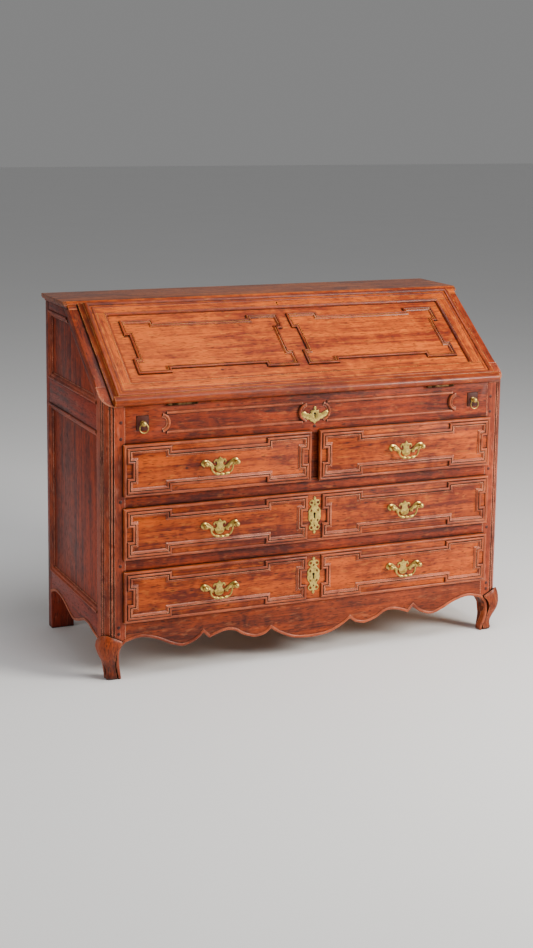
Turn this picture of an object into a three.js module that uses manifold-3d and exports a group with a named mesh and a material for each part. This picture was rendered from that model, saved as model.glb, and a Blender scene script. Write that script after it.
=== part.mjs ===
// A slant-front secretary desk in oak, in millimetres, +Z up and its front towards -Y.
// The front plane of the case is y = 0 while the parts are laid out; the whole desk is centred
// on its bounding box at the end, with its feet on z = 0.
import * as THREE from 'three';
import { mergeVertices } from 'three/addons/utils/BufferGeometryUtils.js';
import Module from 'manifold-3d';

// ---- driving dimensions -------------------------------------------------------------------
const HALF = 650; // half the width over the posts
const DEPTH = 560; // front plane to the back of the posts
const GAP = 0.3; // clearance between pieces that touch

const SLOPE = THREE.MathUtils.degToRad(36); // pitch of the writing fall when it is shut
const SLOPE_FOOT = 803; // height of the slope plane at the front plane
const TOP = 1056; // upper face of the top board
const TOP_THICK = 22;
const TOP_OVERHANG = 10;
const TOP_EDGE = 11; // thickness of the overhanging edge

const POST_WIDE = 63;
const POST_DEEP = 62;
const POST_ROUND = 38; // radius of the post's outer corner
const REED_TOP = 785;
const KNEE = 130; // where the cabriole leg meets the post
const BACK_POST_WIDE = 72;
const BACK_POST_DEEP = 34;

const RAIL_THICK = 25; // side rails
const SLOPE_RAIL = 35; // slope rails, measured square to the slope
const SIDE_APRON_TOP = 190;
const MID_RAIL = [722, 802];
const TOP_RAIL = 1008; // lower edge of the side top rail
const PANEL = [634, 642]; // inner and outer face of the side panels, from the centre plane

const LIP = 7; // how far a drawer's lip covers its opening
const PROUD = 10; // drawer face in front of the case
const FRONT_THICK = 12; // drawer front inside the opening
const ROWS = { top: [540, 691], middle: [356, 507], bottom: [171, 322] }; // drawer lips
const LIP_EDGE = 594; // outer edge of the drawer lips
const LIP_CENTRE = 13; // inner edge of the two top drawers' lips
const FRAME_CENTRE = 24; // inner edge of the two mouldings on a full-width drawer
const SHELF = 12;
const FRONT_RAIL = 30; // depth of the rails behind the front plane
const DRAWER_BACK = 500;
const WALL = 10; // drawer sides

const MOULDING = 16; // width of the applied mouldings
const MOULDING_HIGH = 5;
const STEP = 16; // how far their middle stretches step inwards
const LIP_BEAD = 9; // width of the plain bead between a drawer lip's edge and its moulding

const PIN = { y: -7, z: 799.5, radius: 4.5 }; // hinge of the fall
const HINGE = { x: 417, length: 90, leaf: 2 };
const FALL = { half: 621, top: 413, thick: 25, fieldHalf: 547, field: [72, 345] };
const COVE = { inset: 7, foot: 9, high: 15 }; // the hollow round the fall's edge
const CREST = { inset: 12, wide: 23, foot: 20 }; // the round above it
const NOSING = { s: 1, n: 13, radius: 13 }; // rounded lower edge of the fall
const DECK = [783, 801]; // writing deck

const LOPER = { x: [517, 553], z: [728, 770], back: 380, proud: 2 };
const KNOB = 8.5;
const RING = { radius: 13, wire: 1.8 };

const GALLERY = { half: 584, y: [352, 524], z: [801.3, 1030], wall: 10, part: 8, row: 80, back: 6 };
const HANDLE_X = 303;
const HANDLE_UP = 6; // post line above the middle of the drawer
const POST_SPAN = 96;

const OAK = { color: 0x8a4a22, roughness: 0.45, metalness: 0 };
const DARK_OAK = { color: 0x7b3d24, roughness: 0.45, metalness: 0 };
const FALL_OAK = { color: 0xbb6a2e, roughness: 0.4, metalness: 0 };
const PLAIN_OAK = { color: 0x9a6a3e, roughness: 0.6, metalness: 0 };
const BRASS = { color: 0xc3a862, roughness: 0.35, metalness: 1 };
const IRON = { color: 0x6c6a66, roughness: 0.5, metalness: 1 };

// ---- solids -------------------------------------------------------------------------------
const wasm = await Module();
wasm.setup();

/** Turns a closed three.js geometry into a solid that can be joined and cut. */
function solid(geometry) {
  const bare = geometry.clone();
  bare.deleteAttribute('normal');
  bare.deleteAttribute('uv');
  const merged = mergeVertices(bare, 1e-4);
  return new wasm.Manifold(new wasm.Mesh({
    numProp: 3,
    vertProperties: Float32Array.from(merged.attributes.position.array),
    triVerts: Uint32Array.from(merged.index.array),
  }));
}

/** Turns a solid back into a three.js geometry. */
function geometryOf(body) {
  const mesh = body.getMesh();
  const geometry = new THREE.BufferGeometry();
  geometry.setAttribute('position', new THREE.BufferAttribute(mesh.vertProperties, mesh.numProp));
  geometry.setIndex(new THREE.BufferAttribute(mesh.triVerts, 1));
  geometry.computeVertexNormals();
  return geometry;
}

const join = (...parts) => parts.reduce((all, part) => all.add(part));
const cut = (body, ...tools) => tools.reduce((rest, tool) => rest.subtract(tool), body);
const common = (...parts) => parts.reduce((all, part) => all.intersect(part));

/** A box between two limits on each axis, given in either order. */
function block([x0, x1], [y0, y1], [z0, z1]) {
  const box = new THREE.BoxGeometry(Math.abs(x1 - x0), Math.abs(y1 - y0), Math.abs(z1 - z0));
  return solid(box.translate((x0 + x1) / 2, (y0 + y1) / 2, (z0 + z1) / 2));
}

/** A THREE.Shape from corner points. */
const outline = (points) => new THREE.Shape(points.map(([u, v]) => new THREE.Vector2(u, v)));

/** Extrudes a shape of (u, v) so that u, v and the depth run along three chosen directions. */
function extrude(shape, depth, u, v, origin, curveSegments = 8) {
  const geometry = new THREE.ExtrudeGeometry(shape, { depth, bevelEnabled: false, curveSegments });
  const along = new THREE.Vector3(...u);
  const up = new THREE.Vector3(...v);
  const out = new THREE.Vector3().crossVectors(along, up);
  const place = new THREE.Matrix4().makeBasis(along, up, out).setPosition(...origin);
  return solid(geometry.applyMatrix4(place));
}

/** A prism along X of a (y, z) shape. */
const alongX = (shape, [x0, x1], segments) =>
  extrude(shape, Math.abs(x1 - x0), [0, 1, 0], [0, 0, 1], [Math.min(x0, x1), 0, 0], segments);
/** A prism along Y of an (x, z) shape. */
const alongY = (shape, [y0, y1], segments) =>
  extrude(shape, y1 - y0, [1, 0, 0], [0, 0, 1], [0, y1, 0], segments);
/** A prism along Z of an (x, y) shape. */
const alongZ = (shape, [z0, z1], segments) =>
  extrude(shape, z1 - z0, [1, 0, 0], [0, 1, 0], [0, 0, z0], segments);

/** A rod along X. */
function rodX(radius, [x0, x1], y, z, sides = 16) {
  const rod = new THREE.CylinderGeometry(radius, radius, Math.abs(x1 - x0), sides);
  return solid(rod.rotateZ(Math.PI / 2).translate((x0 + x1) / 2, y, z));
}

/** Height of the slope plane above the floor at a depth y, lowered square to it by n. */
const slopeZ = (y, n = 0) => SLOPE_FOOT + y * Math.tan(SLOPE) + n / Math.cos(SLOPE);
/** Depth at which the slope plane, lowered by n, reaches a height z. */
const slopeY = (z, n = 0) => (z - SLOPE_FOOT - n / Math.cos(SLOPE)) / Math.tan(SLOPE);

/** A box laid out on the slope: x across, s up the slope, n square out of it. */
function slopeBlock(x, s, n) {
  const lying = geometryOf(block(x, s, n));
  return solid(lying.rotateX(SLOPE).translate(0, 0, SLOPE_FOOT));
}

// ---- the scene graph ----------------------------------------------------------------------
const desk = new THREE.Group();
const fall = new THREE.Group(); // laid out flat and then turned up onto the slope
fall.position.z = SLOPE_FOOT;
fall.rotation.x = SLOPE;
desk.add(fall);

/** Adds a solid as a named mesh of the desk, or of the group given. */
function add(name, body, finish, group = desk) {
  const mesh = new THREE.Mesh(geometryOf(body), new THREE.MeshStandardMaterial(finish));
  mesh.name = name;
  group.add(mesh);
  return mesh;
}

const SIDES = [['left', -1], ['right', 1]];

// ---- posts and legs -----------------------------------------------------------------------
/** How far the leg's outer faces stand out from the post at each height, from the floor up. */
const LEG_SWELL = [[-9, 0], [-6, 8], [-8, 22], [-6, 36], [0, 54], [8, 76], [12, 98], [9, 118], [0, KNEE]];

/** The leg's inner edge below the apron, from the top down, as (distance from the centre, height). */
const LEG_INSIDE = [[598, 103], [606, 84], [605, 50], [598, 16], [596, 0]];

/** The leg's outer line as (swell, height) points along a smooth curve. */
function legLine() {
  const knots = LEG_SWELL.map(([d, z]) => new THREE.Vector2(d, z));
  return new THREE.SplineCurve(knots).getPoints(18).map((p) => [p.x, p.y]);
}

/** A front post with its cabriole leg, as one piece of wood. */
function frontPost(side) {
  const inner = HALF - POST_WIDE;
  const section = new THREE.Shape();
  section.moveTo(side * inner, POST_DEEP);
  section.lineTo(side * inner, 0);
  section.lineTo(side * (HALF - POST_ROUND), 0);
  const [from, to] = side > 0 ? [-Math.PI / 2, 0] : [-Math.PI / 2, -Math.PI];
  section.absarc(side * (HALF - POST_ROUND), POST_ROUND, POST_ROUND, from, to, side < 0);
  section.lineTo(side * HALF, POST_DEEP);
  const shaft = alongZ(section, [KNEE - 18, TOP]);
  const above = slopeBlock([-HALF * 2, HALF * 2], [-DEPTH, DEPTH * 2], [0, DEPTH]);

  const grooves = [-31, -17, 17, 31].map((turn) => {
    const angle = THREE.MathUtils.degToRad(45 + turn);
    const groove = new THREE.CylinderGeometry(2.2, 2.2, REED_TOP - KNEE, 6);
    const x = side * (HALF - POST_ROUND + POST_ROUND * Math.cos(angle));
    const y = POST_ROUND - POST_ROUND * Math.sin(angle);
    return solid(groove.rotateX(Math.PI / 2).translate(x, y, (REED_TOP + KNEE) / 2));
  });

  const swell = legLine();
  const innerEdge = [[inner, KNEE], [inner, 113], ...LEG_INSIDE];
  const frontView = outline([...innerEdge, ...swell.map(([d, z]) => [HALF + d, z])]
    .map(([x, z]) => [side * x, z]));
  const backEdge = [[POST_DEEP, KNEE], [POST_DEEP, 96], [56, 80], [53, 40], [50, 0]];
  const sideView = outline([...backEdge, ...swell.map(([d, z]) => [-d, z])]);
  // the outer corner is taken off along the diagonal, parallel to the swell
  const corner = swell.map(([d, z]) => [d * Math.SQRT2 - 14, z]);
  const reach = 120;
  const diagonal = outline([[-reach, KNEE], [-reach, 0], ...corner]);
  const leg = common(
    alongY(frontView, [-40, POST_DEEP]),
    alongX(sideView, [side * inner, side * (HALF + 40)]),
    extrude(diagonal, 2 * reach, [side * Math.SQRT1_2, -Math.SQRT1_2, 0], [0, 0, 1],
      [side * HALF + reach * Math.SQRT1_2, side * reach * Math.SQRT1_2, 0]),
  );
  return join(cut(shaft, above, ...grooves), leg);
}

for (const [name, side] of SIDES) {
  add(`front_post_${name}`, frontPost(side), OAK);
  const inner = HALF - BACK_POST_WIDE;
  const under = TOP - TOP_THICK - GAP;
  const backPost = block([side * inner, side * HALF], [DEPTH - BACK_POST_DEEP, DEPTH], [0, under]);
  add(`back_post_${name}`, backPost, DARK_OAK);
}

// ---- side frames and panels ---------------------------------------------------------------
const SIDE_FRONT = POST_DEEP + GAP;
const SIDE_BACK = DEPTH - BACK_POST_DEEP - GAP;

/** The scalloped lower edge of a side apron, from the back to the front, as (y, z) points. */
function sideScallop() {
  const knots = [[SIDE_BACK, 119], [484, 133], [432, 134], [381, 123], [320, 103], [285, 100],
    [235, 113], [191, 128], [150, 130], [110, 121], [SIDE_FRONT, 112]];
  const curve = new THREE.SplineCurve(knots.map(([y, z]) => new THREE.Vector2(y, z)));
  return curve.getPoints(24).map((p) => [p.x, p.y]);
}

for (const [name, side] of SIDES) {
  const rail = [side * (HALF - RAIL_THICK), side * HALF];
  const under = TOP - TOP_THICK - GAP;
  const slopeRail = outline([
    [SIDE_FRONT, slopeZ(SIDE_FRONT)],
    [SIDE_FRONT, slopeZ(SIDE_FRONT, -SLOPE_RAIL)],
    [slopeY(under, -SLOPE_RAIL), under],
    [slopeY(under), under],
  ]);
  add(`slope_rail_${name}`, alongX(slopeRail, [side * (HALF - POST_WIDE), side * HALF]), FALL_OAK);

  const behind = -SLOPE_RAIL - GAP;
  const topRail = outline([
    [slopeY(TOP_RAIL, behind), TOP_RAIL],
    [SIDE_BACK, TOP_RAIL],
    [SIDE_BACK, under],
    [slopeY(under, behind), under],
  ]);
  add(`side_top_rail_${name}`, alongX(topRail, rail), DARK_OAK);
  add(`side_mid_rail_${name}`, block(rail, [SIDE_FRONT, SIDE_BACK], MID_RAIL), DARK_OAK);

  const apron = outline([...sideScallop(), [SIDE_FRONT, SIDE_APRON_TOP], [SIDE_BACK, SIDE_APRON_TOP]]);
  add(`side_apron_${name}`, alongX(apron, rail), DARK_OAK);

  const panel = [side * PANEL[0], side * PANEL[1]];
  const foot = MID_RAIL[1] + GAP;
  const head = TOP_RAIL - GAP;
  const upper = outline([
    [Math.max(SIDE_FRONT, slopeY(foot, behind)), foot],
    [SIDE_BACK, foot],
    [SIDE_BACK, head],
    [slopeY(head, behind), head],
    [SIDE_FRONT, slopeZ(SIDE_FRONT, behind)],
  ]);
  add(`side_upper_panel_${name}`, alongX(upper, panel), DARK_OAK);
  const lowerPanel = block(panel, [SIDE_FRONT, SIDE_BACK], [SIDE_APRON_TOP + GAP, MID_RAIL[0] - GAP]);
  add(`side_lower_panel_${name}`, lowerPanel, DARK_OAK);
}

// ---- top and back -------------------------------------------------------------------------
const LOCK = { half: 35, s: [345, 389], deep: 10 }; // lock case on the inside of the fall
const BOLT = { half: 8, s: [356, 388.5], n: [-8, -3] };

/** The top board: its front edge lies in the slope, its sides and back overhang. */
function topBoard() {
  const lower = [TOP - TOP_THICK, TOP - TOP_EDGE];
  const body = outline([
    [slopeY(lower[0]), lower[0]], [DEPTH, lower[0]], [DEPTH, lower[1]], [slopeY(lower[1]), lower[1]],
  ]);
  const back = DEPTH + TOP_OVERHANG;
  const edge = outline([
    [slopeY(lower[1]), lower[1]], [back, lower[1]], [back, TOP], [slopeY(TOP), TOP],
  ]);
  const wide = HALF + TOP_OVERHANG;
  const mortise = slopeBlock([-10, 10], [380, 412], [BOLT.n[0] - 1.5, BOLT.n[1] + 1.5]);
  return cut(join(alongX(body, [-HALF, HALF]), alongX(edge, [-wide, wide])), mortise);
}
add('top_board', topBoard(), DARK_OAK);

const BETWEEN_BACK = HALF - BACK_POST_WIDE - GAP;
const backPanel = block([-BETWEEN_BACK, BETWEEN_BACK], [532, 544], [140, TOP - TOP_THICK - GAP]);
add('back_panel', backPanel, DARK_OAK);

// ---- front rails, shelves and apron -------------------------------------------------------
const BETWEEN = HALF - POST_WIDE - GAP; // half the clear width between the front posts
const INSIDE = HALF - RAIL_THICK - GAP; // half the clear width between the side rails
const opening = (row) => [ROWS[row][0] + LIP, ROWS[row][1] - LIP];

/** A board that fits round the front posts and reaches the side rails behind them. */
function shelfBoard(front, z) {
  const shoulder = POST_DEEP + 2 * GAP;
  return join(
    block([-BETWEEN, BETWEEN], [front, shoulder + 1], z),
    block([-INSIDE, INSIDE], [shoulder, SIDE_BACK], z),
  );
}

/** A drawer rail with its dust board, and the mortise for the lock bolt of the drawer below. */
function drawerShelf(above, below) {
  const rail = [opening(below)[1], opening(above)[0]];
  const mortise = block([-10, 10], [3, 10], [rail[0] - 1, rail[0] + 11]);
  return join(
    cut(block([-BETWEEN, BETWEEN], [0, FRONT_RAIL], rail), mortise),
    shelfBoard(FRONT_RAIL - 1, [rail[1] - SHELF, rail[1]]),
  );
}

const FRIEZE = [opening('top')[1], SLOPE_FOOT - GAP];
const FRIEZE_MID = (LOPER.z[0] + LOPER.z[1]) / 2 - 3; // middle of the sunk panels
const SUNK = { inner: 22, outer: 480, scoop: 30, half: 24, deep: 4 };

/** A sunk panel of the frieze, with a scooped end towards the middle and one towards the loper. */
function sunkPanel(side) {
  const turn = Math.asin(SUNK.half / SUNK.scoop);
  const panel = new THREE.Shape();
  panel.absarc(SUNK.inner, 0, SUNK.scoop, -turn, turn, false);
  panel.absarc(SUNK.outer, 0, SUNK.scoop, Math.PI - turn, Math.PI + turn, false);
  const points = panel.getPoints(10).map((p) => [side * p.x, p.y + FRIEZE_MID]);
  return alongY(outline(points), [-1, SUNK.deep]);
}

/** The frieze rail with its two sunk panels, its loper slots and the seats of the hinges. */
function friezeRail() {
  const tools = SIDES.flatMap(([, side]) => {
    const slotX = [side * (LOPER.x[0] - 0.6), side * (LOPER.x[1] + 0.6)];
    const seatX = [side * (HINGE.x - HINGE.length / 2 - 0.5), side * (HINGE.x + HINGE.length / 2 + 0.5)];
    return [
      sunkPanel(side),
      block(slotX, [-1, FRONT_RAIL + 1], [LOPER.z[0] - 0.6, LOPER.z[1] + 0.6]),
      block(seatX, [-1, 28], [PIN.z - 1.8, SLOPE_FOOT]),
    ];
  });
  return cut(block([-BETWEEN, BETWEEN], [0, FRONT_RAIL], FRIEZE), ...tools);
}
add('frieze_rail', friezeRail(), OAK);

const dividerFoot = opening('top')[0];
const divider = block([-20, 20], [6, SIDE_BACK - 20], [dividerFoot - 1, FRIEZE[0] - GAP]);
add('drawer_shelf_upper', join(drawerShelf('top', 'middle'), divider), OAK);
add('drawer_shelf_lower', drawerShelf('middle', 'bottom'), OAK);

const APRON_TOP = opening('bottom')[0];
const APRON_THICK = 22;
add('bottom_shelf', shelfBoard(APRON_THICK + GAP, [APRON_TOP - SHELF, APRON_TOP]), PLAIN_OAK);

/** The lower edge of the front apron from the middle to the post: runs that meet in cusps. */
const APRON_RUNS = [
  [[0, 56], [55, 61], [100, 79], [131, 99]],
  [[131, 99], [150, 85], [182, 79], [220, 90], [247, 106], [272, 110.5], [300, 105], [329, 94]],
  [[329, 94], [347, 112]],
  [[347, 112], [372, 92], [412, 80], [450, 91], [490, 110], [540, 122.5], [BETWEEN, 113]],
];

/** The scalloped front apron. */
function frontApron() {
  const half = APRON_RUNS.flatMap((run) => {
    const curve = new THREE.SplineCurve(run.map(([x, z]) => new THREE.Vector2(x, z)));
    return curve.getPoints(run.length > 2 ? run.length * 2 : 1).slice(0, -1).map((p) => [p.x, p.y]);
  });
  const right = [...half, [BETWEEN, 113]];
  const left = half.slice(1).map(([x, z]) => [-x, z]).reverse();
  const edge = [[-BETWEEN, 113], ...left, ...right];
  return alongY(outline([...edge, [BETWEEN, APRON_TOP], [-BETWEEN, APRON_TOP]]), [0, APRON_THICK]);
}
add('front_apron', frontApron(), OAK);

/** The writing deck with the guides that the lopers run in. */
function writingDeck() {
  const guides = SIDES.flatMap(([, side]) => {
    const [near, far] = LOPER.x;
    const run = [FRONT_RAIL + GAP, LOPER.back + 20];
    const cheek = [LOPER.z[0] - 12, DECK[0] + 1];
    return [
      block([side * (near - 12), side * (near - 0.6)], run, cheek),
      block([side * (far + 0.6), side * (far + 12)], run, cheek),
      block([side * (near - 12), side * (far + 12)], run, [cheek[0], LOPER.z[0] - 0.6]),
    ];
  });
  return join(shelfBoard(FRONT_RAIL + GAP, DECK), ...guides);
}
add('writing_deck', writingDeck(), PLAIN_OAK);

// ---- gallery of pigeonholes ---------------------------------------------------------------
const BAY = (2 * (GALLERY.half - GALLERY.wall) - 4 * GALLERY.part) / 5;
const LOWER_ROW = [GALLERY.z[0] + GALLERY.part, GALLERY.z[0] + GALLERY.part + GALLERY.row];
const UPPER_ROW = [LOWER_ROW[1] + GALLERY.part, GALLERY.z[1] - GALLERY.part];
const bayStart = (i) => -GALLERY.half + GALLERY.wall + i * (BAY + GALLERY.part);
const DRAWER_BAYS = { left: [bayStart(0), bayStart(1) + BAY], right: [bayStart(3), bayStart(4) + BAY] };

/** The gallery: a row of pigeonholes over two small drawers and an open middle bay. */
function gallery() {
  const hollow = [GALLERY.y[0] - 1, GALLERY.y[1] - GALLERY.back];
  const pigeonholes = [0, 1, 2, 3, 4].map((i) => block([bayStart(i), bayStart(i) + BAY], hollow, UPPER_ROW));
  const lower = [DRAWER_BAYS.left, [bayStart(2), bayStart(2) + BAY], DRAWER_BAYS.right];
  const body = block([-GALLERY.half, GALLERY.half], GALLERY.y, GALLERY.z);
  return cut(body, ...pigeonholes, ...lower.map((x) => block(x, hollow, LOWER_ROW)));
}
add('gallery', gallery(), PLAIN_OAK);

for (const [name] of SIDES) {
  const [x0, x1] = DRAWER_BAYS[name];
  const [z0, z1] = [LOWER_ROW[0] + 0.5, LOWER_ROW[1] - 1];
  const back = GALLERY.y[1] - GALLERY.back - 2;
  const outside = block([x0 + 1, x1 - 1], [GALLERY.y[0], back], [z0, z1]);
  const inside = block([x0 + 8, x1 - 8], [GALLERY.y[0] + 10, back - 7], [z0 + 5, z1 + 1]);
  const knob = new THREE.SphereGeometry(7, 10, 8);
  const turned = solid(knob.translate((x0 + x1) / 2, GALLERY.y[0] - 5, (z0 + z1) / 2));
  add(`gallery_drawer_${name}`, join(cut(outside, inside), turned), PLAIN_OAK);
}

// ---- drawers ------------------------------------------------------------------------------
/** A rectangle about the origin whose middle stretches step inwards, as corner points. */
function steppedOutline(width, height, cornerX, cornerZ) {
  const [w, h] = [width / 2, height / 2];
  const quarter = [[-w, -h + cornerZ], [-w, -h], [-w + cornerX, -h], [-w + cornerX, -h + STEP]];
  const turns = [[1, 1], [-1, 1], [-1, -1], [1, -1]];
  return turns.flatMap(([sx, sz]) => {
    const corner = [[-w + STEP, -h + cornerZ], ...quarter].map(([x, z]) => [sx * x, sz * z]);
    return sx * sz > 0 ? corner : corner.reverse();
  });
}

/** The flat band of an applied moulding, as a shape with a hole. */
function mouldingShape(width, height, cornerX, cornerZ) {
  const band = outline(steppedOutline(width, height, cornerX, cornerZ));
  const shrink = 2 * MOULDING;
  band.holes.push(outline(
    steppedOutline(width - shrink, height - shrink, cornerX - shrink, cornerZ - shrink),
  ));
  return band;
}

const CORNER = { drawerX: 134, drawerZ: 46, fallX: 103, fallS: 62 };

/** An applied moulding on a drawer face between two x limits, inside the beads of the row's lips. */
function drawerMoulding([x0, x1], [z0, z1]) {
  const height = z1 - z0 - 2 * LIP_BEAD;
  const shape = mouldingShape(Math.abs(x1 - x0), height, CORNER.drawerX, CORNER.drawerZ);
  const band = geometryOf(alongY(shape, [-PROUD - MOULDING_HIGH, -PROUD + 1]));
  return solid(band.translate((x0 + x1) / 2, 0, (z0 + z1) / 2));
}

/** A drawer front: the lip in front of the case, the part in the opening, and its mouldings. */
function drawerFront(x, z, mouldings) {
  const [left, right] = x;
  return join(
    block(x, [-PROUD, -GAP], z),
    block([left + LIP + 1.5, right - LIP - 1.5], [-1, FRONT_THICK], [z[0] + LIP + 1, z[1] - LIP - 1.5]),
    ...mouldings.map((limits) => drawerMoulding(limits, z)),
  );
}

/** The open-topped box behind a drawer front: two sides, a back and a bottom. */
function drawerBox([x0, x1], [z0, z1]) {
  const run = [FRONT_THICK + GAP, DRAWER_BACK];
  const outside = block([x0 + LIP + 2, x1 - LIP - 2], run, [z0 + LIP + 0.5, z1 - LIP - 8]);
  const inside = block(
    [x0 + LIP + 2 + WALL, x1 - LIP - 2 - WALL],
    [run[0] - 1, run[1] - WALL],
    [z0 + LIP + 7, z1],
  );
  return cut(outside, inside);
}

const OUTSIDE = LIP_EDGE - LIP_BEAD; // outer edge of the mouldings
const INSIDE_TOP = LIP_CENTRE + LIP_BEAD; // inner edge of the two top drawers' mouldings
const DRAWERS = {
  drawer_top_left: { row: 'top', x: [-LIP_EDGE, -LIP_CENTRE], mouldings: [[-OUTSIDE, -INSIDE_TOP]] },
  drawer_top_right: { row: 'top', x: [LIP_CENTRE, LIP_EDGE], mouldings: [[INSIDE_TOP, OUTSIDE]] },
};
for (const row of ['middle', 'bottom']) {
  const mouldings = [[-OUTSIDE, -FRAME_CENTRE], [FRAME_CENTRE, OUTSIDE]];
  DRAWERS[`drawer_${row}`] = { row, x: [-LIP_EDGE, LIP_EDGE], mouldings, locked: true };
}

for (const [name, { row, x, mouldings, locked }] of Object.entries(DRAWERS)) {
  const z = ROWS[row];
  const front = drawerFront(x, z, mouldings);
  const edge = z[1] - LIP - 1.5; // top of the front inside the opening
  const pocket = block([-9.6, 9.6], [3.4, 9.6], [edge - 30, edge + 1]);
  add(`${name}_front`, locked ? cut(front, pocket) : front, OAK);
  add(`${name}_box`, drawerBox(x, z), PLAIN_OAK);
  if (locked) {
    add(`${name}_bolt`, block([-9, 9], [4, 9], [edge - 29, edge - 0.5]), IRON);
  }
}

// ---- bail handles -------------------------------------------------------------------------
/** The pierced-batwing outline of a handle plate, as (x, z) points about the post line. */
function batwing() {
  const half = [[0, 15], [5, 9], [9, 11], [14, 8], [20, 4], [30, 8], [40, 11], [50, 9], [57, 4],
    [58, -3], [52, -9], [44, -11], [36, -15], [28, -21], [18, -22], [10, -25], [0, -30]];
  const curve = new THREE.SplineCurve(half.map(([x, z]) => new THREE.Vector2(x, z)));
  const right = curve.getPoints(18).map((p) => [p.x, p.y]);
  const left = right.slice(1, -1).map(([x, z]) => [-x, z]).reverse();
  return outline([...right, ...left]);
}

const HEAD = { y: -18, radius: 8, hole: 2.9 }; // post heads, in front of the drawer face
const BAIL = { pin: 2, knop: 4, drop: 31.5 };

/** A handle plate with its two ball-headed posts, drilled for the bail. */
function handlePlate() {
  const plate = alongY(batwing(), [-2 - GAP, -GAP]);
  const posts = [-1, 1].flatMap((side) => {
    const x = (side * POST_SPAN) / 2;
    const stem = new THREE.CylinderGeometry(4, 4, -HEAD.y - 1, 10);
    const ball = new THREE.SphereGeometry(HEAD.radius, 12, 8);
    return [
      solid(stem.translate(x, (HEAD.y - 1) / 2, 0)),
      solid(ball.rotateX(Math.PI / 2).translate(x, HEAD.y, 0)),
    ];
  });
  const holes = [-1, 1].map((side) => {
    const x = (side * POST_SPAN) / 2;
    return rodX(HEAD.hole, [x - 12, x + 12], HEAD.y, 0, 12);
  });
  return cut(join(plate, ...posts), ...holes);
}

/** A rod of round section along a curve of (x, z) points in the plane y = 0. */
function bentRod(points, radius, steps, sides, closed = false) {
  const path = new THREE.CatmullRomCurve3(
    points.map(([x, z]) => new THREE.Vector3(x, 0, z)), closed, 'centripetal',
  );
  const section = new THREE.Shape();
  section.absarc(0, 0, radius, 0, Math.PI * 2, false);
  return solid(new THREE.ExtrudeGeometry(section, {
    steps, extrudePath: path, bevelEnabled: false, curveSegments: sides / 2,
  }));
}

/** A swan-neck bail with three knops, hanging from its two pins. */
function handleBail() {
  const half = [[54, 0], [46, 0], [38, -1], [33, -6], [32.5, -14], [27.5, -24], [16, -30.3]];
  const left = half.map(([x, z]) => [-x, z]);
  const rod = bentRod([...left, [0, -BAIL.drop], ...half.reverse()], BAIL.pin, 26, 6);
  const knops = [-14, 0, 14].map((x) => {
    const knop = new THREE.SphereGeometry(BAIL.knop, 7, 5).scale(x === 0 ? 1.3 : 0.8, 1, 1);
    return solid(knop.translate(x, 0, x === 0 ? -BAIL.drop : 0.8 - BAIL.drop));
  });
  return join(rod, ...knops);
}

const HANDLES = {
  top_left: -1, top_right: 1, middle_left: -1, middle_right: 1, bottom_left: -1, bottom_right: 1,
};
for (const [name, side] of Object.entries(HANDLES)) {
  const [z0, z1] = ROWS[name.split('_')[0]];
  const z = (z0 + z1) / 2 + HANDLE_UP;
  add(`handle_plate_${name}`, handlePlate(), BRASS).position.set(side * HANDLE_X, -PROUD, z);
  add(`handle_bail_${name}`, handleBail(), BRASS).position.set(side * HANDLE_X, HEAD.y - PROUD, z);
}

// ---- lopers -------------------------------------------------------------------------------
const KNOB_Y = -LOPER.proud - 12;
const KNOB_Z = 749;

for (const [name, side] of SIDES) {
  const x = (side * (LOPER.x[0] + LOPER.x[1])) / 2;
  const bar = block(LOPER.x.map((v) => side * v), [-LOPER.proud, LOPER.back], LOPER.z);
  const stem = new THREE.CylinderGeometry(3, 3, 14, 10).translate(x, KNOB_Y + 6, KNOB_Z);
  const ball = new THREE.SphereGeometry(KNOB, 14, 10).rotateX(Math.PI / 2).translate(x, KNOB_Y, KNOB_Z);
  const hole = rodX(3, [x - 12, x + 12], KNOB_Y, KNOB_Z, 12);
  add(`loper_${name}`, cut(join(bar, solid(stem), solid(ball)), hole), OAK);

  // the ring is straight where it passes through the knob
  const arc = [...Array(11).keys()].map((i) => {
    const angle = Math.PI / 2 + 1.1 + (i / 10) * (2 * Math.PI - 2.2);
    return [RING.radius * Math.cos(angle), RING.radius * Math.sin(angle) - RING.radius];
  });
  const loop = [[0, 0], [-7, 0], [-10.4, -1.6], ...arc, [10.4, -1.6], [7, 0]];
  const ring = bentRod(loop, RING.wire, 32, 6, true);
  add(`loper_ring_${name}`, ring, BRASS).position.set(x, KNOB_Y, KNOB_Z);
}

// ---- hinges of the fall -------------------------------------------------------------------
const PIN_S = PIN.y * Math.cos(SLOPE) + (PIN.z - SLOPE_FOOT) * Math.sin(SLOPE);
const PIN_N = -PIN.y * Math.sin(SLOPE) + (PIN.z - SLOPE_FOOT) * Math.cos(SLOPE);

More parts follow.
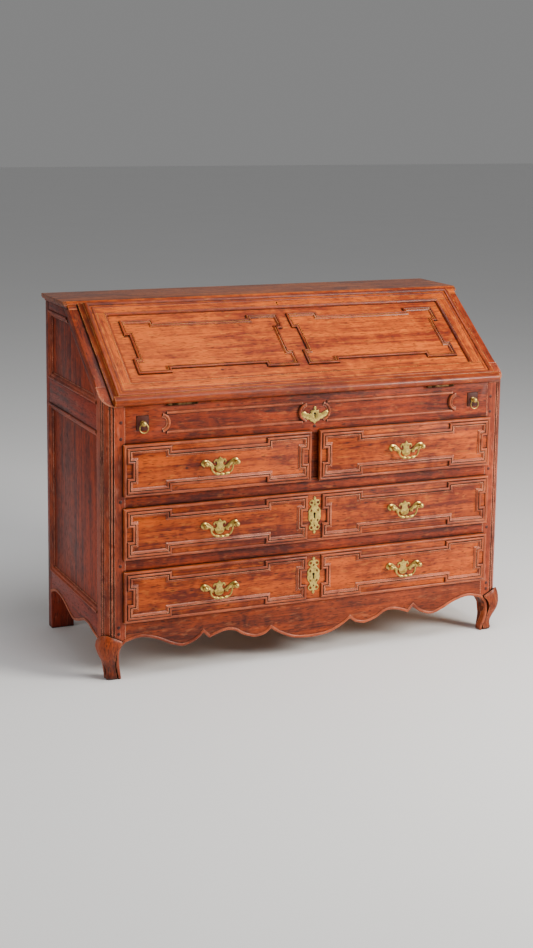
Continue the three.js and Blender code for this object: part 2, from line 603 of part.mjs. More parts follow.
for (const [name, side] of SIDES) {
  const start = HINGE.x - HINGE.length / 2;
  const third = HINGE.length / 3;
  const knuckle = (i) => [side * (start + i * third + 0.2), side * (start + (i + 1) * third - 0.2)];
  const whole = [side * start, side * (start + HINGE.length)];

  const plate = block(whole, [PIN.y + 5.5, 27.5], [PIN.z - 1.5, PIN.z + 0.5]);
  const fixed = [0, 2].flatMap((i) => [
    rodX(PIN.radius, knuckle(i), PIN.y, PIN.z),
    block(knuckle(i), [PIN.y, PIN.y + 6], [PIN.z - 1.5, PIN.z + 0.5]),
  ]);
  add(`hinge_case_leaf_${name}`, join(plate, ...fixed), BRASS);

  const leaf = block(whole, [PIN_S + 5.5, PIN_S + 34], [PIN_N - 1, PIN_N - 1 + HINGE.leaf]);
  const moving = [
    rodX(PIN.radius, knuckle(1), PIN_S, PIN_N),
    block(knuckle(1), [PIN_S, PIN_S + 6], [PIN_N - 1, PIN_N + 1]),
  ];
  add(`hinge_fall_leaf_${name}`, join(leaf, ...moving), BRASS, fall);
}

// ---- the fall, laid out flat: x across, y up the slope, z square out of it ------------------
/** The fall's outer rectangle drawn in by an inset, as corner points. */
function rectangle(inset) {
  const x = FALL.half - inset;
  const s = FALL.top - inset;
  return [[-x, inset], [x, inset], [x, s], [-x, s]];
}

/** A band of the fall's frame from an inset rectangle to an inner outline. */
function fallBand(inset, inner, z) {
  const band = outline(rectangle(inset));
  band.holes.push(outline(inner));
  return alongZ(band, z);
}

/** The moulded frame of the fall with its nosing, hinge seats and lock case. */
function fallFrame() {
  const [s0, s1] = FALL.field;
  const hole = [[-FALL.fieldHalf, s0], [FALL.fieldHalf, s0], [FALL.fieldHalf, s1], [-FALL.fieldHalf, s1]];
  const nosing = rodX(NOSING.radius, [-FALL.half + 2, FALL.half - 2], NOSING.s, NOSING.n, 20);
  const body = join(
    fallBand(0, hole, [GAP, COVE.foot]),
    fallBand(COVE.inset, hole, [COVE.foot - 1, COVE.high]),
    fallBand(CREST.inset, hole, [COVE.high - 1, CREST.foot]),
    fallBand(CREST.inset, rectangle(CREST.inset + CREST.wide), [CREST.foot - 1, FALL.thick]),
    nosing,
  );
  const lockCase = block([-LOCK.half, LOCK.half], LOCK.s, [-LOCK.deep, 1]);
  const channel = block([-BOLT.half - 0.6, BOLT.half + 0.6], [BOLT.s[0] - 1, 400],
    [BOLT.n[0] - 0.6, BOLT.n[1] + 0.6]);
  const keyhole = block([-2.5, 2.5], [358, 378], [-1, FALL.thick + 1]);
  const seats = SIDES.flatMap(([, side]) => {
    const seat = HINGE.length / 2 + 0.7;
    const x = [side * (HINGE.x - seat), side * (HINGE.x + seat)];
    return [rodX(5.7, x, PIN_S, PIN_N, 20), block(x, [PIN_S, PIN_S + 34.5], [-2, PIN_N + 1.5])];
  });
  return cut(join(body, lockCase), channel, keyhole, ...seats);
}
add('fall_frame', fallFrame(), FALL_OAK, fall);

const PANEL_FACE = 13;
const FALL_MOULDING = { x: 267.5, s: 212, wide: 505, high: 220 };

/** The fall's panel with its two applied mouldings side by side. */
function fallPanel() {
  const [s0, s1] = FALL.field;
  const board = block(
    [-FALL.fieldHalf + GAP, FALL.fieldHalf - GAP], [s0 + GAP, s1 - GAP], [GAP, PANEL_FACE],
  );
  const mouldings = [-1, 1].map((side) => {
    const shape = mouldingShape(FALL_MOULDING.wide, FALL_MOULDING.high, CORNER.fallX, CORNER.fallS);
    const band = geometryOf(alongZ(shape, [PANEL_FACE - 1, PANEL_FACE + MOULDING_HIGH]));
    return solid(band.translate(side * FALL_MOULDING.x, FALL_MOULDING.s, 0));
  });
  return join(board, ...mouldings);
}
add('fall_panel', fallPanel(), FALL_OAK, fall);
add('fall_lock_bolt', block([-BOLT.half, BOLT.half], BOLT.s, BOLT.n), IRON, fall);

// ---- place the desk's origin at the middle of its footprint --------------------------------
const box = new THREE.Box3().setFromObject(desk, true);
desk.position.y = -(box.min.y + box.max.y) / 2;

export default desk;
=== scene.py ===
"""A slant-front secretary desk in old waxed oak, with brass handles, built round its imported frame."""

import logging
import math
import zlib
from dataclasses import dataclass, field
from enum import Enum

import bmesh
import bpy
from mathutils import Matrix, Vector


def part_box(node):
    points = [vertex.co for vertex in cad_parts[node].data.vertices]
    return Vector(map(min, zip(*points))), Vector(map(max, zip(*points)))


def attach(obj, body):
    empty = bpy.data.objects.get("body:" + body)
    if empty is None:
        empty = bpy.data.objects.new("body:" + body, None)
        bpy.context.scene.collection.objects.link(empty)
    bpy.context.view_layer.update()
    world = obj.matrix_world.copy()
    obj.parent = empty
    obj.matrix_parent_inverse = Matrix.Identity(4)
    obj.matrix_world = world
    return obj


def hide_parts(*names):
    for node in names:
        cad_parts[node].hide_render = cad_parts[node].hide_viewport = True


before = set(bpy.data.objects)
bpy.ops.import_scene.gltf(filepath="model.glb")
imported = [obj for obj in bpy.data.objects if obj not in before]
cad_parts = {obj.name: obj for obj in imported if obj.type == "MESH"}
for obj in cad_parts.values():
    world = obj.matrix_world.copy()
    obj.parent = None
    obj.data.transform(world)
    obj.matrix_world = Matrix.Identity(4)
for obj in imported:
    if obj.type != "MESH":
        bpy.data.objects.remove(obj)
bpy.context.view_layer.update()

LOG = logging.getLogger("desk")
MM = 0.001
X, Y, Z = Vector((1, 0, 0)), Vector((0, 1, 0)), Vector((0, 0, 1))
FORWARD = -Y  # out of the desk's front
GRAIN = "grain"  # attribute that holds each face corner's place along and across its board


class Side(Enum):
    """The two sides of the desk, as the sign of X."""

    LEFT = -1
    RIGHT = 1

    @property
    def label(self) -> str:
        """The side's name as it ends a piece's name."""
        return self.name.lower()


# ---- where things are ------------------------------------------------------------------------
@dataclass(frozen=True)
class Setting:
    """The desk's main planes, in metres, read from the frame."""

    slope: float = math.radians(36)

    @property
    def front(self) -> float:
        """The front plane of the case."""
        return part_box("frieze_rail")[0].y

    @property
    def half(self) -> float:
        """Half the width over the posts."""
        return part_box("slope_rail_right")[1].x

    @property
    def post_inner(self) -> float:
        """Distance of the posts' inner faces from the middle."""
        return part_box("slope_rail_right")[0].x

    @property
    def slope_foot(self) -> float:
        """Height of the slope plane at the front plane."""
        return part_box("frieze_rail")[1].z + 0.3 * MM

    def on_slope(self) -> Matrix:
        """The frame of the shut fall: x across, y up the slope, z square out of it."""
        return Matrix.Translation((0, self.front, self.slope_foot)) @ Matrix.Rotation(self.slope, 4, "X")

    def up_slope(self) -> Vector:
        """The direction that runs up the slope."""
        return Vector((0, math.cos(self.slope), math.sin(self.slope)))


SETTING = Setting()


def from_front(x: float, y: float, z: float) -> Vector:
    """A point from millimetres across, behind the front plane and above the floor.

    Args:
        x: Millimetres to the right of the middle.
        y: Millimetres behind the front plane.
        z: Millimetres above the floor.

    Returns:
        The point in metres.
    """
    return Vector((x * MM, y * MM + SETTING.front, z * MM))


def flat(points: list[tuple[float, float]]) -> list[Vector]:
    """Turns (x, z) pairs in millimetres into points of the front plane, in metres."""
    return [from_front(x, 0, z) for x, z in points]


def arc(centre: tuple[float, float], radius: float, start: float, end: float, steps: int) -> list[tuple]:
    """Points along an arc, in the centre's units.

    Args:
        centre: The arc's centre.
        radius: Its radius.
        start: Angle of the first point, in degrees.
        end: Angle of the last point, in degrees.
        steps: How many chords it is made of.

    Returns:
        The points as pairs.
    """
    turns = [math.radians(start + (end - start) * i / steps) for i in range(steps + 1)]
    return [(centre[0] + radius * math.cos(t), centre[1] + radius * math.sin(t)) for t in turns]


def smooth(knots: list[tuple], steps: int, closed: bool = False) -> list[tuple]:
    """A Catmull-Rom curve through knots.

    Args:
        knots: Points of any number of coordinates.
        steps: Points made for each span.
        closed: Whether the curve returns to its first knot.

    Returns:
        Points along the curve, ending on the last knot unless it is closed.
    """
    count = len(knots)
    spans = count if closed else count - 1

    def knot(i: int) -> tuple:
        """The knot at an index past either end."""
        return knots[i % count] if closed else knots[max(0, min(count - 1, i))]

    made = []
    for i in range(spans):
        a, b, c, d = (knot(i + k) for k in (-1, 0, 1, 2))
        for j in range(steps):
            t = j / steps
            made.append(tuple(
                0.5 * (2 * q + (r - p) * t + (2 * p - 5 * q + 4 * r - s) * t * t
                       + (3 * q - p - 3 * r + s) * t ** 3)
                for p, q, r, s in zip(a, b, c, d)
            ))
    return made if closed else [*made, tuple(knots[-1])]


def mirrored(half: list[tuple[float, float]]) -> list[tuple[float, float]]:
    """A closed outline from its right half, listed from the top middle to the bottom middle."""
    return half + [(-x, z) for x, z in reversed(half[1:-1])]


# ---- shader maths ----------------------------------------------------------------------------
class Value:
    """A number carried by a shader socket, which takes part in Python arithmetic."""

    def __init__(self, shader: "Shader", socket: bpy.types.NodeSocket) -> None:
        """Keeps the material it belongs to and the socket that carries it."""
        self.shader = shader
        self.socket = socket

    def _math(self, operation: str, *values: "Value | float") -> "Value":
        """Adds a Math node.

        Args:
            operation: The node's operation.
            *values: Its inputs in order.

        Returns:
            The node's result.
        """
        inputs = dict(enumerate(values))
        return self.shader.node("ShaderNodeMath", {"operation": operation}, inputs)

    def __add__(self, other: "Value | float") -> "Value":
        """Adds."""
        return self._math("ADD", self, other)

    __radd__ = __add__

    def __sub__(self, other: "Value | float") -> "Value":
        """Subtracts."""
        return self._math("SUBTRACT", self, other)

    def __rsub__(self, other: float) -> "Value":
        """Subtracts from a number."""
        return self._math("SUBTRACT", other, self)

    def __mul__(self, other: "Value | float") -> "Value":
        """Multiplies."""
        return self._math("MULTIPLY", self, other)

    __rmul__ = __mul__

    def __pow__(self, power: float) -> "Value":
        """Raises to a power."""
        return self._math("POWER", self, power)

    def step(self, low: float, high: float) -> "Value":
        """Rises smoothly from 0 at low to 1 at high.

        Args:
            low: Where the rise starts.
            high: Where it ends, which may be below low for a fall.

        Returns:
            The eased value.
        """
        settings = {"interpolation_type": "SMOOTHSTEP"}
        if low < high:
            return self.shader.node("ShaderNodeMapRange", settings, {0: self, 1: low, 2: high})
        return 1 - self.shader.node("ShaderNodeMapRange", settings, {0: self, 1: high, 2: low})


class Shader:
    """A material being written as nodes round one Principled shader."""

    def __init__(self, name: str) -> None:
        """Starts an empty material of that name."""
        self.material = bpy.data.materials.new(name)
        self.material.use_nodes = True
        self.tree = self.material.node_tree
        self.surface = self.tree.nodes["Principled BSDF"]

    def node(self, kind: str, settings: dict | None = None, inputs: dict | None = None,
             output: int | str = 0) -> Value:
        """Adds a node.

        Args:
            kind: The node's type.
            settings: Its own settings, which are made first.
            inputs: Values or links of its sockets, by index or name.
            output: The output wanted, by index or name.

        Returns:
            The output as a value.
        """
        made = self.tree.nodes.new(kind)
        for key, value in (settings or {}).items():
            setattr(made, key, value)
        for key, value in (inputs or {}).items():
            self.join(made.inputs[key], value)
        return Value(self, made.outputs[output])

    def join(self, socket: bpy.types.NodeSocket, value: "Value | float | tuple") -> None:
        """Links a value to a socket, or sets the socket's own number or colour."""
        if isinstance(value, Value):
            self.tree.links.new(value.socket, socket)
        elif isinstance(value, tuple) and socket.type == "RGBA" and len(value) == 3:
            socket.default_value = (*value, 1.0)
        else:
            socket.default_value = value

    def blend(self, factor: "Value | float", low: "Value | tuple", high: "Value | tuple") -> Value:
        """Mixes two colours.

        Args:
            factor: 0 for the first colour, 1 for the second.
            low: The first colour.
            high: The second colour.

        Returns:
            The mixed colour.
        """
        settings = {"data_type": "RGBA", "clamp_factor": True}
        return self.node("ShaderNodeMix", settings, {0: factor, 6: low, 7: high}, 2)

    def noise(self, place: Value, stretch: tuple, detail: float = 3, rough: float = 0.5,
              swirl: float = 0.0) -> Value:
        """Noise over a stretched place.

        Args:
            place: The coordinates, in metres.
            stretch: Cycles per metre along each of them.
            detail: Octaves of the noise.
            rough: How strong its fine octaves are.
            swirl: How far it is distorted.

        Returns:
            A number about 0.5.
        """
        at = self.node("ShaderNodeMapping", {}, {"Vector": place, "Scale": stretch})
        inputs = {"Vector": at, "Scale": 1.0, "Detail": detail, "Roughness": rough, "Distortion": swirl}
        return self.node("ShaderNodeTexNoise", {}, inputs)

    def crevice(self, reach: float) -> Value:
        """Rises to 1 in corners and quirks narrower than a reach in metres."""
        settings = {"samples": 8, "only_local": False}
        open_sky = self.node("ShaderNodeAmbientOcclusion", settings, {"Distance": reach}, "AO")
        return 1 - open_sky

    def arris(self, reach: float) -> Value:
        """Rises to 1 on edges, within a reach in metres."""
        rounded = self.node("ShaderNodeBevel", {"samples": 4}, {"Radius": reach})
        true = self.node("ShaderNodeNewGeometry", {}, {}, "Normal")
        dot = self.node("ShaderNodeVectorMath", {"operation": "DOT_PRODUCT"}, {0: rounded, 1: true}, "Value")
        return dot.step(0.99, 0.86)

    def bump(self, height: Value, depth: float, strength: float) -> None:
        """Feeds a height into the surface's normal.

        Args:
            height: The relief, from 0 to 1.
            depth: Its depth in metres.
            strength: How strongly it shows.
        """
        inputs = {"Height": height, "Distance": depth, "Strength": strength}
        self.join(self.surface.inputs["Normal"], self.node("ShaderNodeBump", {}, inputs))

    def put(self, **sockets: "Value | float | tuple") -> None:
        """Sets the surface's sockets, named in lower case with _ for spaces."""
        for key, value in sockets.items():
            self.join(self.surface.inputs[key.replace("_", " ").title().replace("Ior", "IOR")], value)


# ---- finishes --------------------------------------------------------------------------------
@dataclass(frozen=True)
class Oak:
    """Old oak: its colours, how strongly its figure shows, and how it is polished."""

    name: str
    slot: str
    light: tuple
    dark: tuple
    # The pale colour below serves the rays, the worn edges and the painted highlight on edges.
    worn: tuple
    # The darkest colour serves pores, knots and grime, and is also the colour of the painted shade in quirks
    # and recesses.
    grime: tuple = (0.012, 0.004, 0.002)
    roughness: float = 0.44
    coat: float = 0.08
    figure: float = 1.0
    # Sets the strength of the grime and of the painted shade in quirks and recesses.
    dirt: float = 1.0
    # Sets how strongly edges are lightened, real wear and painted highlight together.
    wear: float = 0.75

    def dress(self) -> bpy.types.Material:
        """Writes the oak's grain, pores, knots and polish, its grime with painted shade in quirks and
        recesses, and its worn edges with a painted highlight.

        Returns:
            The material.
        """
        shader = Shader(self.name)
        grain = shader.node("ShaderNodeAttribute", {"attribute_name": GRAIN}, {}, "Vector")
        place = shader.node("ShaderNodeTexCoord", {}, {}, "Object")
        rings = shader.noise(grain, (2.2, 46, 46), 4, 0.6, 0.9)
        fibres = shader.noise(grain, (16, 340, 340), 3, 0.6)
        dashes = shader.noise(grain, (52, 400, 400), 1, 0.4).step(0.57, 0.68)
        rays = shader.noise(grain, (30, 120, 120), 2, 0.5, 0.4).step(0.56, 0.72)
        clouds = shader.noise(place, (3.1, 3.1, 3.1), 3, 0.55, 0.6)
        stains = shader.noise(place, (17, 17, 17), 4, 0.6, 1.2)
        knots = self._knots(shader, grain)

        tone = (rings - 0.5) * (2.8 * self.figure) + (fibres - 0.5) * (1.2 * self.figure)
        tone = tone + (clouds - 0.5) * 1.9 + (stains - 0.5) * 1.5 + 0.50
        colour = shader.blend(tone, self.dark, self.light)
        colour = shader.blend(rays * (0.34 * self.figure) * stains, colour, self.worn)
        pores = dashes * (0.80 * self.figure) * (stains + 0.30)
        colour = shader.blend(pores, colour, self.grime)
        colour = shader.blend(knots * 0.85, colour, self.grime)
        # Edges are lightened towards the pale colour: partly real wear, partly a painted highlight standing
        # in for the sheen on ridges and reeds.
        rubbed_and_sheen = shader.arris(2.4 * MM) * stains.step(0.30, 0.56) * self.wear
        colour = shader.blend(rubbed_and_sheen, colour, self.worn)
        # Quirks and corners are darkened: partly real grime, partly painted shade in the quirks of the
        # mouldings.
        grime = shader.crevice(6 * MM).step(0.10, 0.52) * (0.95 * self.dirt)
        colour = shader.blend(grime, colour, self.grime)
        # Painted shade: wider recesses and the spaces under and between parts are darkened, standing in for
        # the shade that falls there.
        shade = shader.crevice(40 * MM).step(0.16, 0.95) * (0.75 * self.dirt)
        colour = shader.blend(shade, colour, self.grime)

        rough = self.roughness + pores * 0.22 + grime * 0.20 + (clouds - 0.5) * 0.20 + (fibres - 0.5) * 0.16
        shader.put(base_color=colour, roughness=rough, coat_weight=self.coat, coat_roughness=0.22)
        shader.put(specular_ior_level=0.26)
        relief = fibres * 0.35 + rings * 0.5 + stains * 0.55 - dashes * 0.45 - knots * 0.5
        shader.bump(relief, 0.6 * MM, 0.5)
        return shader.material

    def _knots(self, shader: Shader, grain: Value) -> Value:
        """Small pin knots and worm holes, a few to each board.

        Args:
            shader: The material being written.
            grain: The board's own coordinates.

        Returns:
            1 at a knot and 0 elsewhere.
        """
        at = shader.node("ShaderNodeMapping", {}, {"Vector": grain, "Scale": (8.0, 11.0, 11.0)})
        inputs = {"Vector": at, "Scale": 1.0, "Randomness": 1.0}
        return shader.node("ShaderNodeTexVoronoi", {"feature": "F1"}, inputs).step(0.055, 0.025)


@dataclass(frozen=True)
class Metal:
    """Old metal: its colour, its tarnish and how brightly it is rubbed."""

    name: str
    slot: str
    bright: tuple
    tarnish: tuple
    roughness: float
    spread: float = 0.5

    def dress(self) -> bpy.types.Material:
        """Writes tarnish in the corners, rubbed edges and fine scratches.

        Returns:
            The material.
        """
        shader = Shader(self.name)
        place = shader.node("ShaderNodeTexCoord", {}, {}, "Object")
        mottle = shader.noise(place, (160, 160, 160), 4, 0.6, 0.5)
        scratch = shader.noise(place, (240, 240, 2600), 2, 0.5)
        corners = shader.crevice(5 * MM) ** 0.8
        dull = mottle.step(0.42, 0.75) * self.spread + corners * 0.85
        edge = shader.arris(0.8 * MM)
        dull = dull * (1 - edge * 0.7)
        colour = shader.blend(dull, self.bright, self.tarnish)
        rough = self.roughness + dull * 0.28 + (scratch - 0.5) * 0.12
        shader.put(base_color=colour, roughness=rough, metallic=1.0)
        shader.bump(mottle * 0.7 + scratch * 0.3, 0.15 * MM, 0.35)
        return shader.material


@dataclass(frozen=True)
class Plaster:
    """The pale matt floor that the desk stands on."""

    name: str
    tint: tuple

    def dress(self) -> bpy.types.Material:
        """Writes a faint mottle over a pale ground.

        Returns:
            The material.
        """
        shader = Shader(self.name)
        place = shader.node("ShaderNodeTexCoord", {}, {}, "Object")
        mottle = shader.noise(place, (1.6, 1.6, 1.6), 3, 0.5)
        darker = tuple(0.97 * c for c in self.tint)
        shader.put(base_color=shader.blend(mottle, darker, self.tint), roughness=0.85)
        return shader.material


class Finish(Enum):
    """The finishes on the desk, each with its slot in the record."""

    CASE = Oak("case_oak", "oak_case", (0.280, 0.026, 0.007), (0.060, 0.005, 0.002), (0.62, 0.21, 0.12))
    PANEL = Oak("side_panel_oak", "oak_case", (0.340, 0.034, 0.002), (0.075, 0.006, 0.002),
                (0.54, 0.13, 0.04))
    TOP = Oak("top_oak", "oak_case", (0.340, 0.076, 0.010), (0.100, 0.014, 0.002), (0.52, 0.24, 0.10),
              coat=0.35)
    FRONT = Oak("front_oak", "oak_front", (0.330, 0.036, 0.001), (0.070, 0.005, 0.001), (0.62, 0.20, 0.05))
    APRON = Oak("apron_oak", "oak_front", (0.310, 0.042, 0.003), (0.065, 0.007, 0.001), (0.60, 0.22, 0.08))
    FALL = Oak("fall_oak", "oak_fall", (0.620, 0.104, 0.001), (0.200, 0.018, 0.001), (0.82, 0.30, 0.03),
               dirt=1.3)
    DRAWER = Oak("drawer_oak", "oak_drawer", (0.540, 0.080, 0.001), (0.120, 0.010, 0.001), (0.76, 0.26, 0.03))
    # The mouldings and posts take the edge lightening and crevice darkening at full strength: real wear and
    # grime, with painted highlights on their ridges and painted shade in their quirks.
    MOULDING = Oak("moulding_oak", "oak_drawer", (0.480, 0.094, 0.024), (0.150, 0.020, 0.005),
                   (0.94, 0.46, 0.28), figure=0.5, wear=1.0, dirt=1.2, coat=0.15)
    FALL_MOULDING = Oak("fall_moulding_oak", "oak_fall", (0.340, 0.044, 0.001), (0.090, 0.008, 0.001),
                        (0.94, 0.40, 0.08), figure=0.6, wear=1.0, dirt=1.4, coat=0.15)
    POST = Oak("post_oak", "oak_case", (0.370, 0.050, 0.008), (0.100, 0.010, 0.003), (0.94, 0.42, 0.26),
               figure=0.7, wear=1.0, dirt=1.3)
    PEG = Oak("peg_oak", "oak_front", (0.080, 0.012, 0.005), (0.020, 0.004, 0.003), (0.24, 0.08, 0.04),
              figure=0.5)
    INSIDE = Oak("inside_oak", "oak_inside", (0.440, 0.205, 0.062), (0.235, 0.090, 0.024),
                 (0.56, 0.34, 0.15), grime=(0.045, 0.020, 0.008), roughness=0.58, coat=0.0, dirt=0.7,
                 wear=0.3)
    BRASS = Metal("handle_brass", "brass", (0.600, 0.420, 0.110), (0.085, 0.052, 0.010), 0.28, 0.6)
    OLD_BRASS = Metal("dark_brass", "hinge_brass", (0.150, 0.080, 0.034), (0.030, 0.016, 0.009), 0.44, 0.9)
    IRON = Metal("lock_iron", "lock_steel", (0.400, 0.380, 0.350), (0.090, 0.060, 0.045), 0.40, 0.8)
    # A black sheet behind the keyholes: painted shade standing in for the dark inside of the holes.
    BLACK = Metal("keyhole_iron", "lock_steel", (0.020, 0.016, 0.014), (0.006, 0.005, 0.004), 0.60, 1.0)

    def material(self) -> bpy.types.Material:
        """The finish's material, written the first time it is asked for."""
        return bpy.data.materials.get(self.value.name) or self.value.dress()


# ---- pieces ----------------------------------------------------------------------------------
class Piece:
    """One piece being shaped. Its faces remember which way their grain runs."""

    def __init__(self, name: str, finish: Finish, body: str, grain: Vector = X) -> None:
        """Starts an empty piece.

        Args:
            name: The piece's name.
            finish: What it is finished with.
            body: The moving body that carries it.
            grain: The way its grain runs where a face says nothing else.
        """
        self.name = name
        self.finish = finish
        self.body = body
        self.grain = grain
        self.bm = bmesh.new()
        self.run = self.bm.faces.layers.float_vector.new("run")

    def soften(self, edges: list, width: float, segments: int = 2) -> None:
        """Rounds edges over.

        Args:
            edges: The edges to round.
            width: Width of the round, in metres.
            segments: Facets across it.
        """
        bmesh.ops.bevel(
            self.bm, geom=edges, offset=width, offset_type="OFFSET", segments=segments,
            profile=0.5, affect="EDGES", clamp_overlap=True, material=-1,
        )

    def board(self, low: Vector, high: Vector, soft: float = 1.2 * MM, segments: int = 2) -> "Piece":
        """Adds a board with its arrises eased.

        Args:
            low: Its lowest corner.
            high: Its highest corner.
            soft: Width of the eased edges.
            segments: Facets across them.

        Returns:
            The piece.
        """
        place = Matrix.Translation((low + high) / 2) @ Matrix.Diagonal((*(high - low), 1))
        made = bmesh.ops.create_cube(self.bm, size=1, matrix=place)
        edges = list({e for v in made["verts"] for e in v.link_edges})
        if soft:
            self.soften(edges, soft, segments)
        return self

    def node(self, name: str, soft: float = 1.2 * MM, segments: int = 2, keep: float = 25) -> "Piece":
        """Adds a copy of a frame node with its outer arrises eased.

        Args:
            name: The node.
            soft: Width of the eased edges.
            segments: Facets across them.
            keep: Edges sharper than this many degrees are eased.

        Returns:
            The piece.
        """
        work = bmesh.new()
        work.from_mesh(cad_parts[name].data)
        bmesh.ops.remove_doubles(work, verts=work.verts, dist=0.01 * MM)
        bmesh.ops.dissolve_limit(work, angle_limit=math.radians(0.5), verts=work.verts, edges=work.edges)
        sharp = [e for e in work.edges if e.is_manifold and e.calc_face_angle_signed(0) > math.radians(keep)]
        bmesh.ops.bevel(
            work, geom=sharp, offset=soft, offset_type="OFFSET", segments=segments,
            profile=0.5, affect="EDGES", clamp_overlap=True, material=-1,
        )
        mesh = bpy.data.meshes.new("work")
        work.to_mesh(mesh)
        work.free()
        self.bm.from_mesh(mesh)
        bpy.data.meshes.remove(mesh)
        self.run = self.bm.faces.layers.float_vector.get("run") or self.run
        return self

    def sweep(self, profile: list[tuple], path: list[Vector], out: Vector, closed: bool = False,
              unit: float = MM) -> "Piece":
        """Runs a moulding along a path, mitred at its corners.

        Args:
            profile: Closed section as (across, height) pairs. Across is to the left of the path,
                looking against out.
            path: The points that it runs through.
            out: The direction that its heights stand in.
            closed: Whether it returns to its start.
            unit: Length of the profile's unit, in metres.

        Returns:
            The piece.
        """
        stations = [self._station(path, i, out, closed) for i in range(len(path))]
        if closed:
            stations.append(stations[0])
        section = [self.bm.verts.new(stations[0] @ Vector((a * unit, h * unit, 0))) for a, h in profile]
        first = [self.bm.edges.new((section[i - 1], section[i])) for i in range(len(section))]
        loop = first
        for before, after, start, end in zip(
            stations, stations[1:], path, [*path[1:], path[0]],
        ):
            made = bmesh.ops.extrude_edge_only(self.bm, edges=loop)["geom"]
            fresh = {g for g in made if isinstance(g, bmesh.types.BMVert)}
            bmesh.ops.transform(self.bm, matrix=after @ before.inverted(), verts=list(fresh))
            for face in (g for g in made if isinstance(g, bmesh.types.BMFace)):
                face[self.run] = end - start
            loop = [
                g for g in made
                if isinstance(g, bmesh.types.BMEdge) and g.verts[0] in fresh and g.verts[1] in fresh
            ]
        if not closed:
            bmesh.ops.edgeloop_fill(self.bm, edges=first)
            bmesh.ops.edgeloop_fill(self.bm, edges=loop)
        return self

    @staticmethod
    def _station(path: list[Vector], i: int, out: Vector, closed: bool) -> Matrix:
        """Where a moulding's section stands at one point of its path, along the mitre.

        Args:
            path: The path's points.
            i: Which point.
            out: The direction of the section's heights.
            closed: Whether the path returns to its start.

        Returns:
            The matrix that places the section.
        """
        count = len(path)
        before = path[i] - path[i - 1] if i > 0 or closed else None
        after = path[(i + 1) % count] - path[i] if i < count - 1 or closed else None
        runs = [(v - out * v.dot(out)).normalized() for v in (before or after, after or before)]
        lefts = [out.cross(v) for v in runs]
        mitre = (lefts[0] + lefts[1]) / max(0.2, 1 + lefts[0].dot(lefts[1]))
        ahead = out.cross(mitre) * -1
        columns = (mitre, out, ahead.normalized())
        turn = Matrix([[c[r] for c in columns] for r in range(3)]).to_4x4()
        return Matrix.Translation(path[i]) @ turn

    def plate(self, outline: list[Vector], thick: Vector, holes: list[list[Vector]] = (),
              soft: float = 0.0, segments: int = 2) -> "Piece":
        """Adds a flat plate cut to an outline.

        Args:
            outline: The corners of its face.
            thick: From its back to its face.
            holes: The corners of each hole.
            soft: Width of the round on its face's edges.
            segments: Facets across it.

        Returns:
            The piece.
        """
        rim = []
        for corners in (outline, *holes):
            verts = [self.bm.verts.new(p) for p in corners]
            rim += [self.bm.edges.new((verts[i - 1], verts[i])) for i in range(len(verts))]
        made = bmesh.ops.triangle_fill(self.bm, use_beauty=True, edges=rim)["geom"]
        faces = [g for g in made if isinstance(g, bmesh.types.BMFace)]
        grown = bmesh.ops.extrude_face_region(self.bm, geom=faces)["geom"]
        fresh = [g for g in grown if isinstance(g, bmesh.types.BMVert)]
        bmesh.ops.translate(self.bm, verts=fresh, vec=thick)
        lids = [g for g in grown if isinstance(g, bmesh.types.BMFace)]
        if soft:
            lid_edges = {e for f in lids for e in f.edges}
            edge = [e for e in lid_edges if sum(f in lids for f in e.link_faces) == 1]
            self.soften(edge, soft, segments)
        return self

    def turned(self, profile: list[tuple], centre: Vector, axis: Vector, steps: int = 20,
               unit: float = MM) -> "Piece":
        """Turns a profile round an axis, as on a lathe.

        Args:
            profile: (radius, distance along the axis) pairs. Its ends are closed to the axis.
            centre: Where distance 0 lies.
            axis: The axis.
            steps: Facets round it.
            unit: Length of the profile's unit, in metres.

        Returns:
            The piece.
        """
        side = axis.orthogonal().normalized()
        ends = [(0.0, profile[0][1]), *profile, (0.0, profile[-1][1])]
        verts = [self.bm.verts.new(centre + side * (r * unit) + axis * (d * unit)) for r, d in ends]
        edges = [self.bm.edges.new(pair) for pair in zip(verts, verts[1:])]
        bmesh.ops.spin(
            self.bm, geom=verts + edges, cent=centre, axis=axis, angle=math.tau, steps=steps,
            use_merge=True,
        )
        return self

    def wire(self, path: list[Vector], radii: list[float], out: Vector, sides: int = 10,
             closed: bool = False) -> "Piece":
        """Adds a round bar of varying thickness along a path.

        Args:
            path: Its centre line.
            radii: Its radius at each point, in metres.
            out: A direction square to the path's plane.
            sides: Facets round it.
            closed: Whether it returns to its start.

        Returns:
            The piece.
        """
        stations = [
            self._station(path, i, out, closed) @ Matrix.Scale(r, 4)
            for i, r in enumerate(radii)
        ]
        if closed:
            stations.append(stations[0])
        ring = bmesh.ops.create_circle(self.bm, segments=sides, radius=1, matrix=stations[0])["verts"]
        first = list({e for v in ring for e in v.link_edges})
        loop = first
        for before, after in zip(stations, stations[1:]):
            made = bmesh.ops.extrude_edge_only(self.bm, edges=loop)["geom"]
            fresh = {g for g in made if isinstance(g, bmesh.types.BMVert)}
            bmesh.ops.transform(self.bm, matrix=after @ before.inverted(), verts=list(fresh))
            loop = [
                g for g in made
                if isinstance(g, bmesh.types.BMEdge) and g.verts[0] in fresh and g.verts[1] in fresh
            ]
        if not closed:
            bmesh.ops.edgeloop_fill(self.bm, edges=first)
            bmesh.ops.edgeloop_fill(self.bm, edges=loop)
        return self

    def place(self, matrix: Matrix) -> "Piece":
        """Moves everything made so far."""
        bmesh.ops.transform(self.bm, matrix=matrix, verts=self.bm.verts)
        for face in self.bm.faces:
            face[self.run] = matrix.to_3x3() @ face[self.run]
        return self

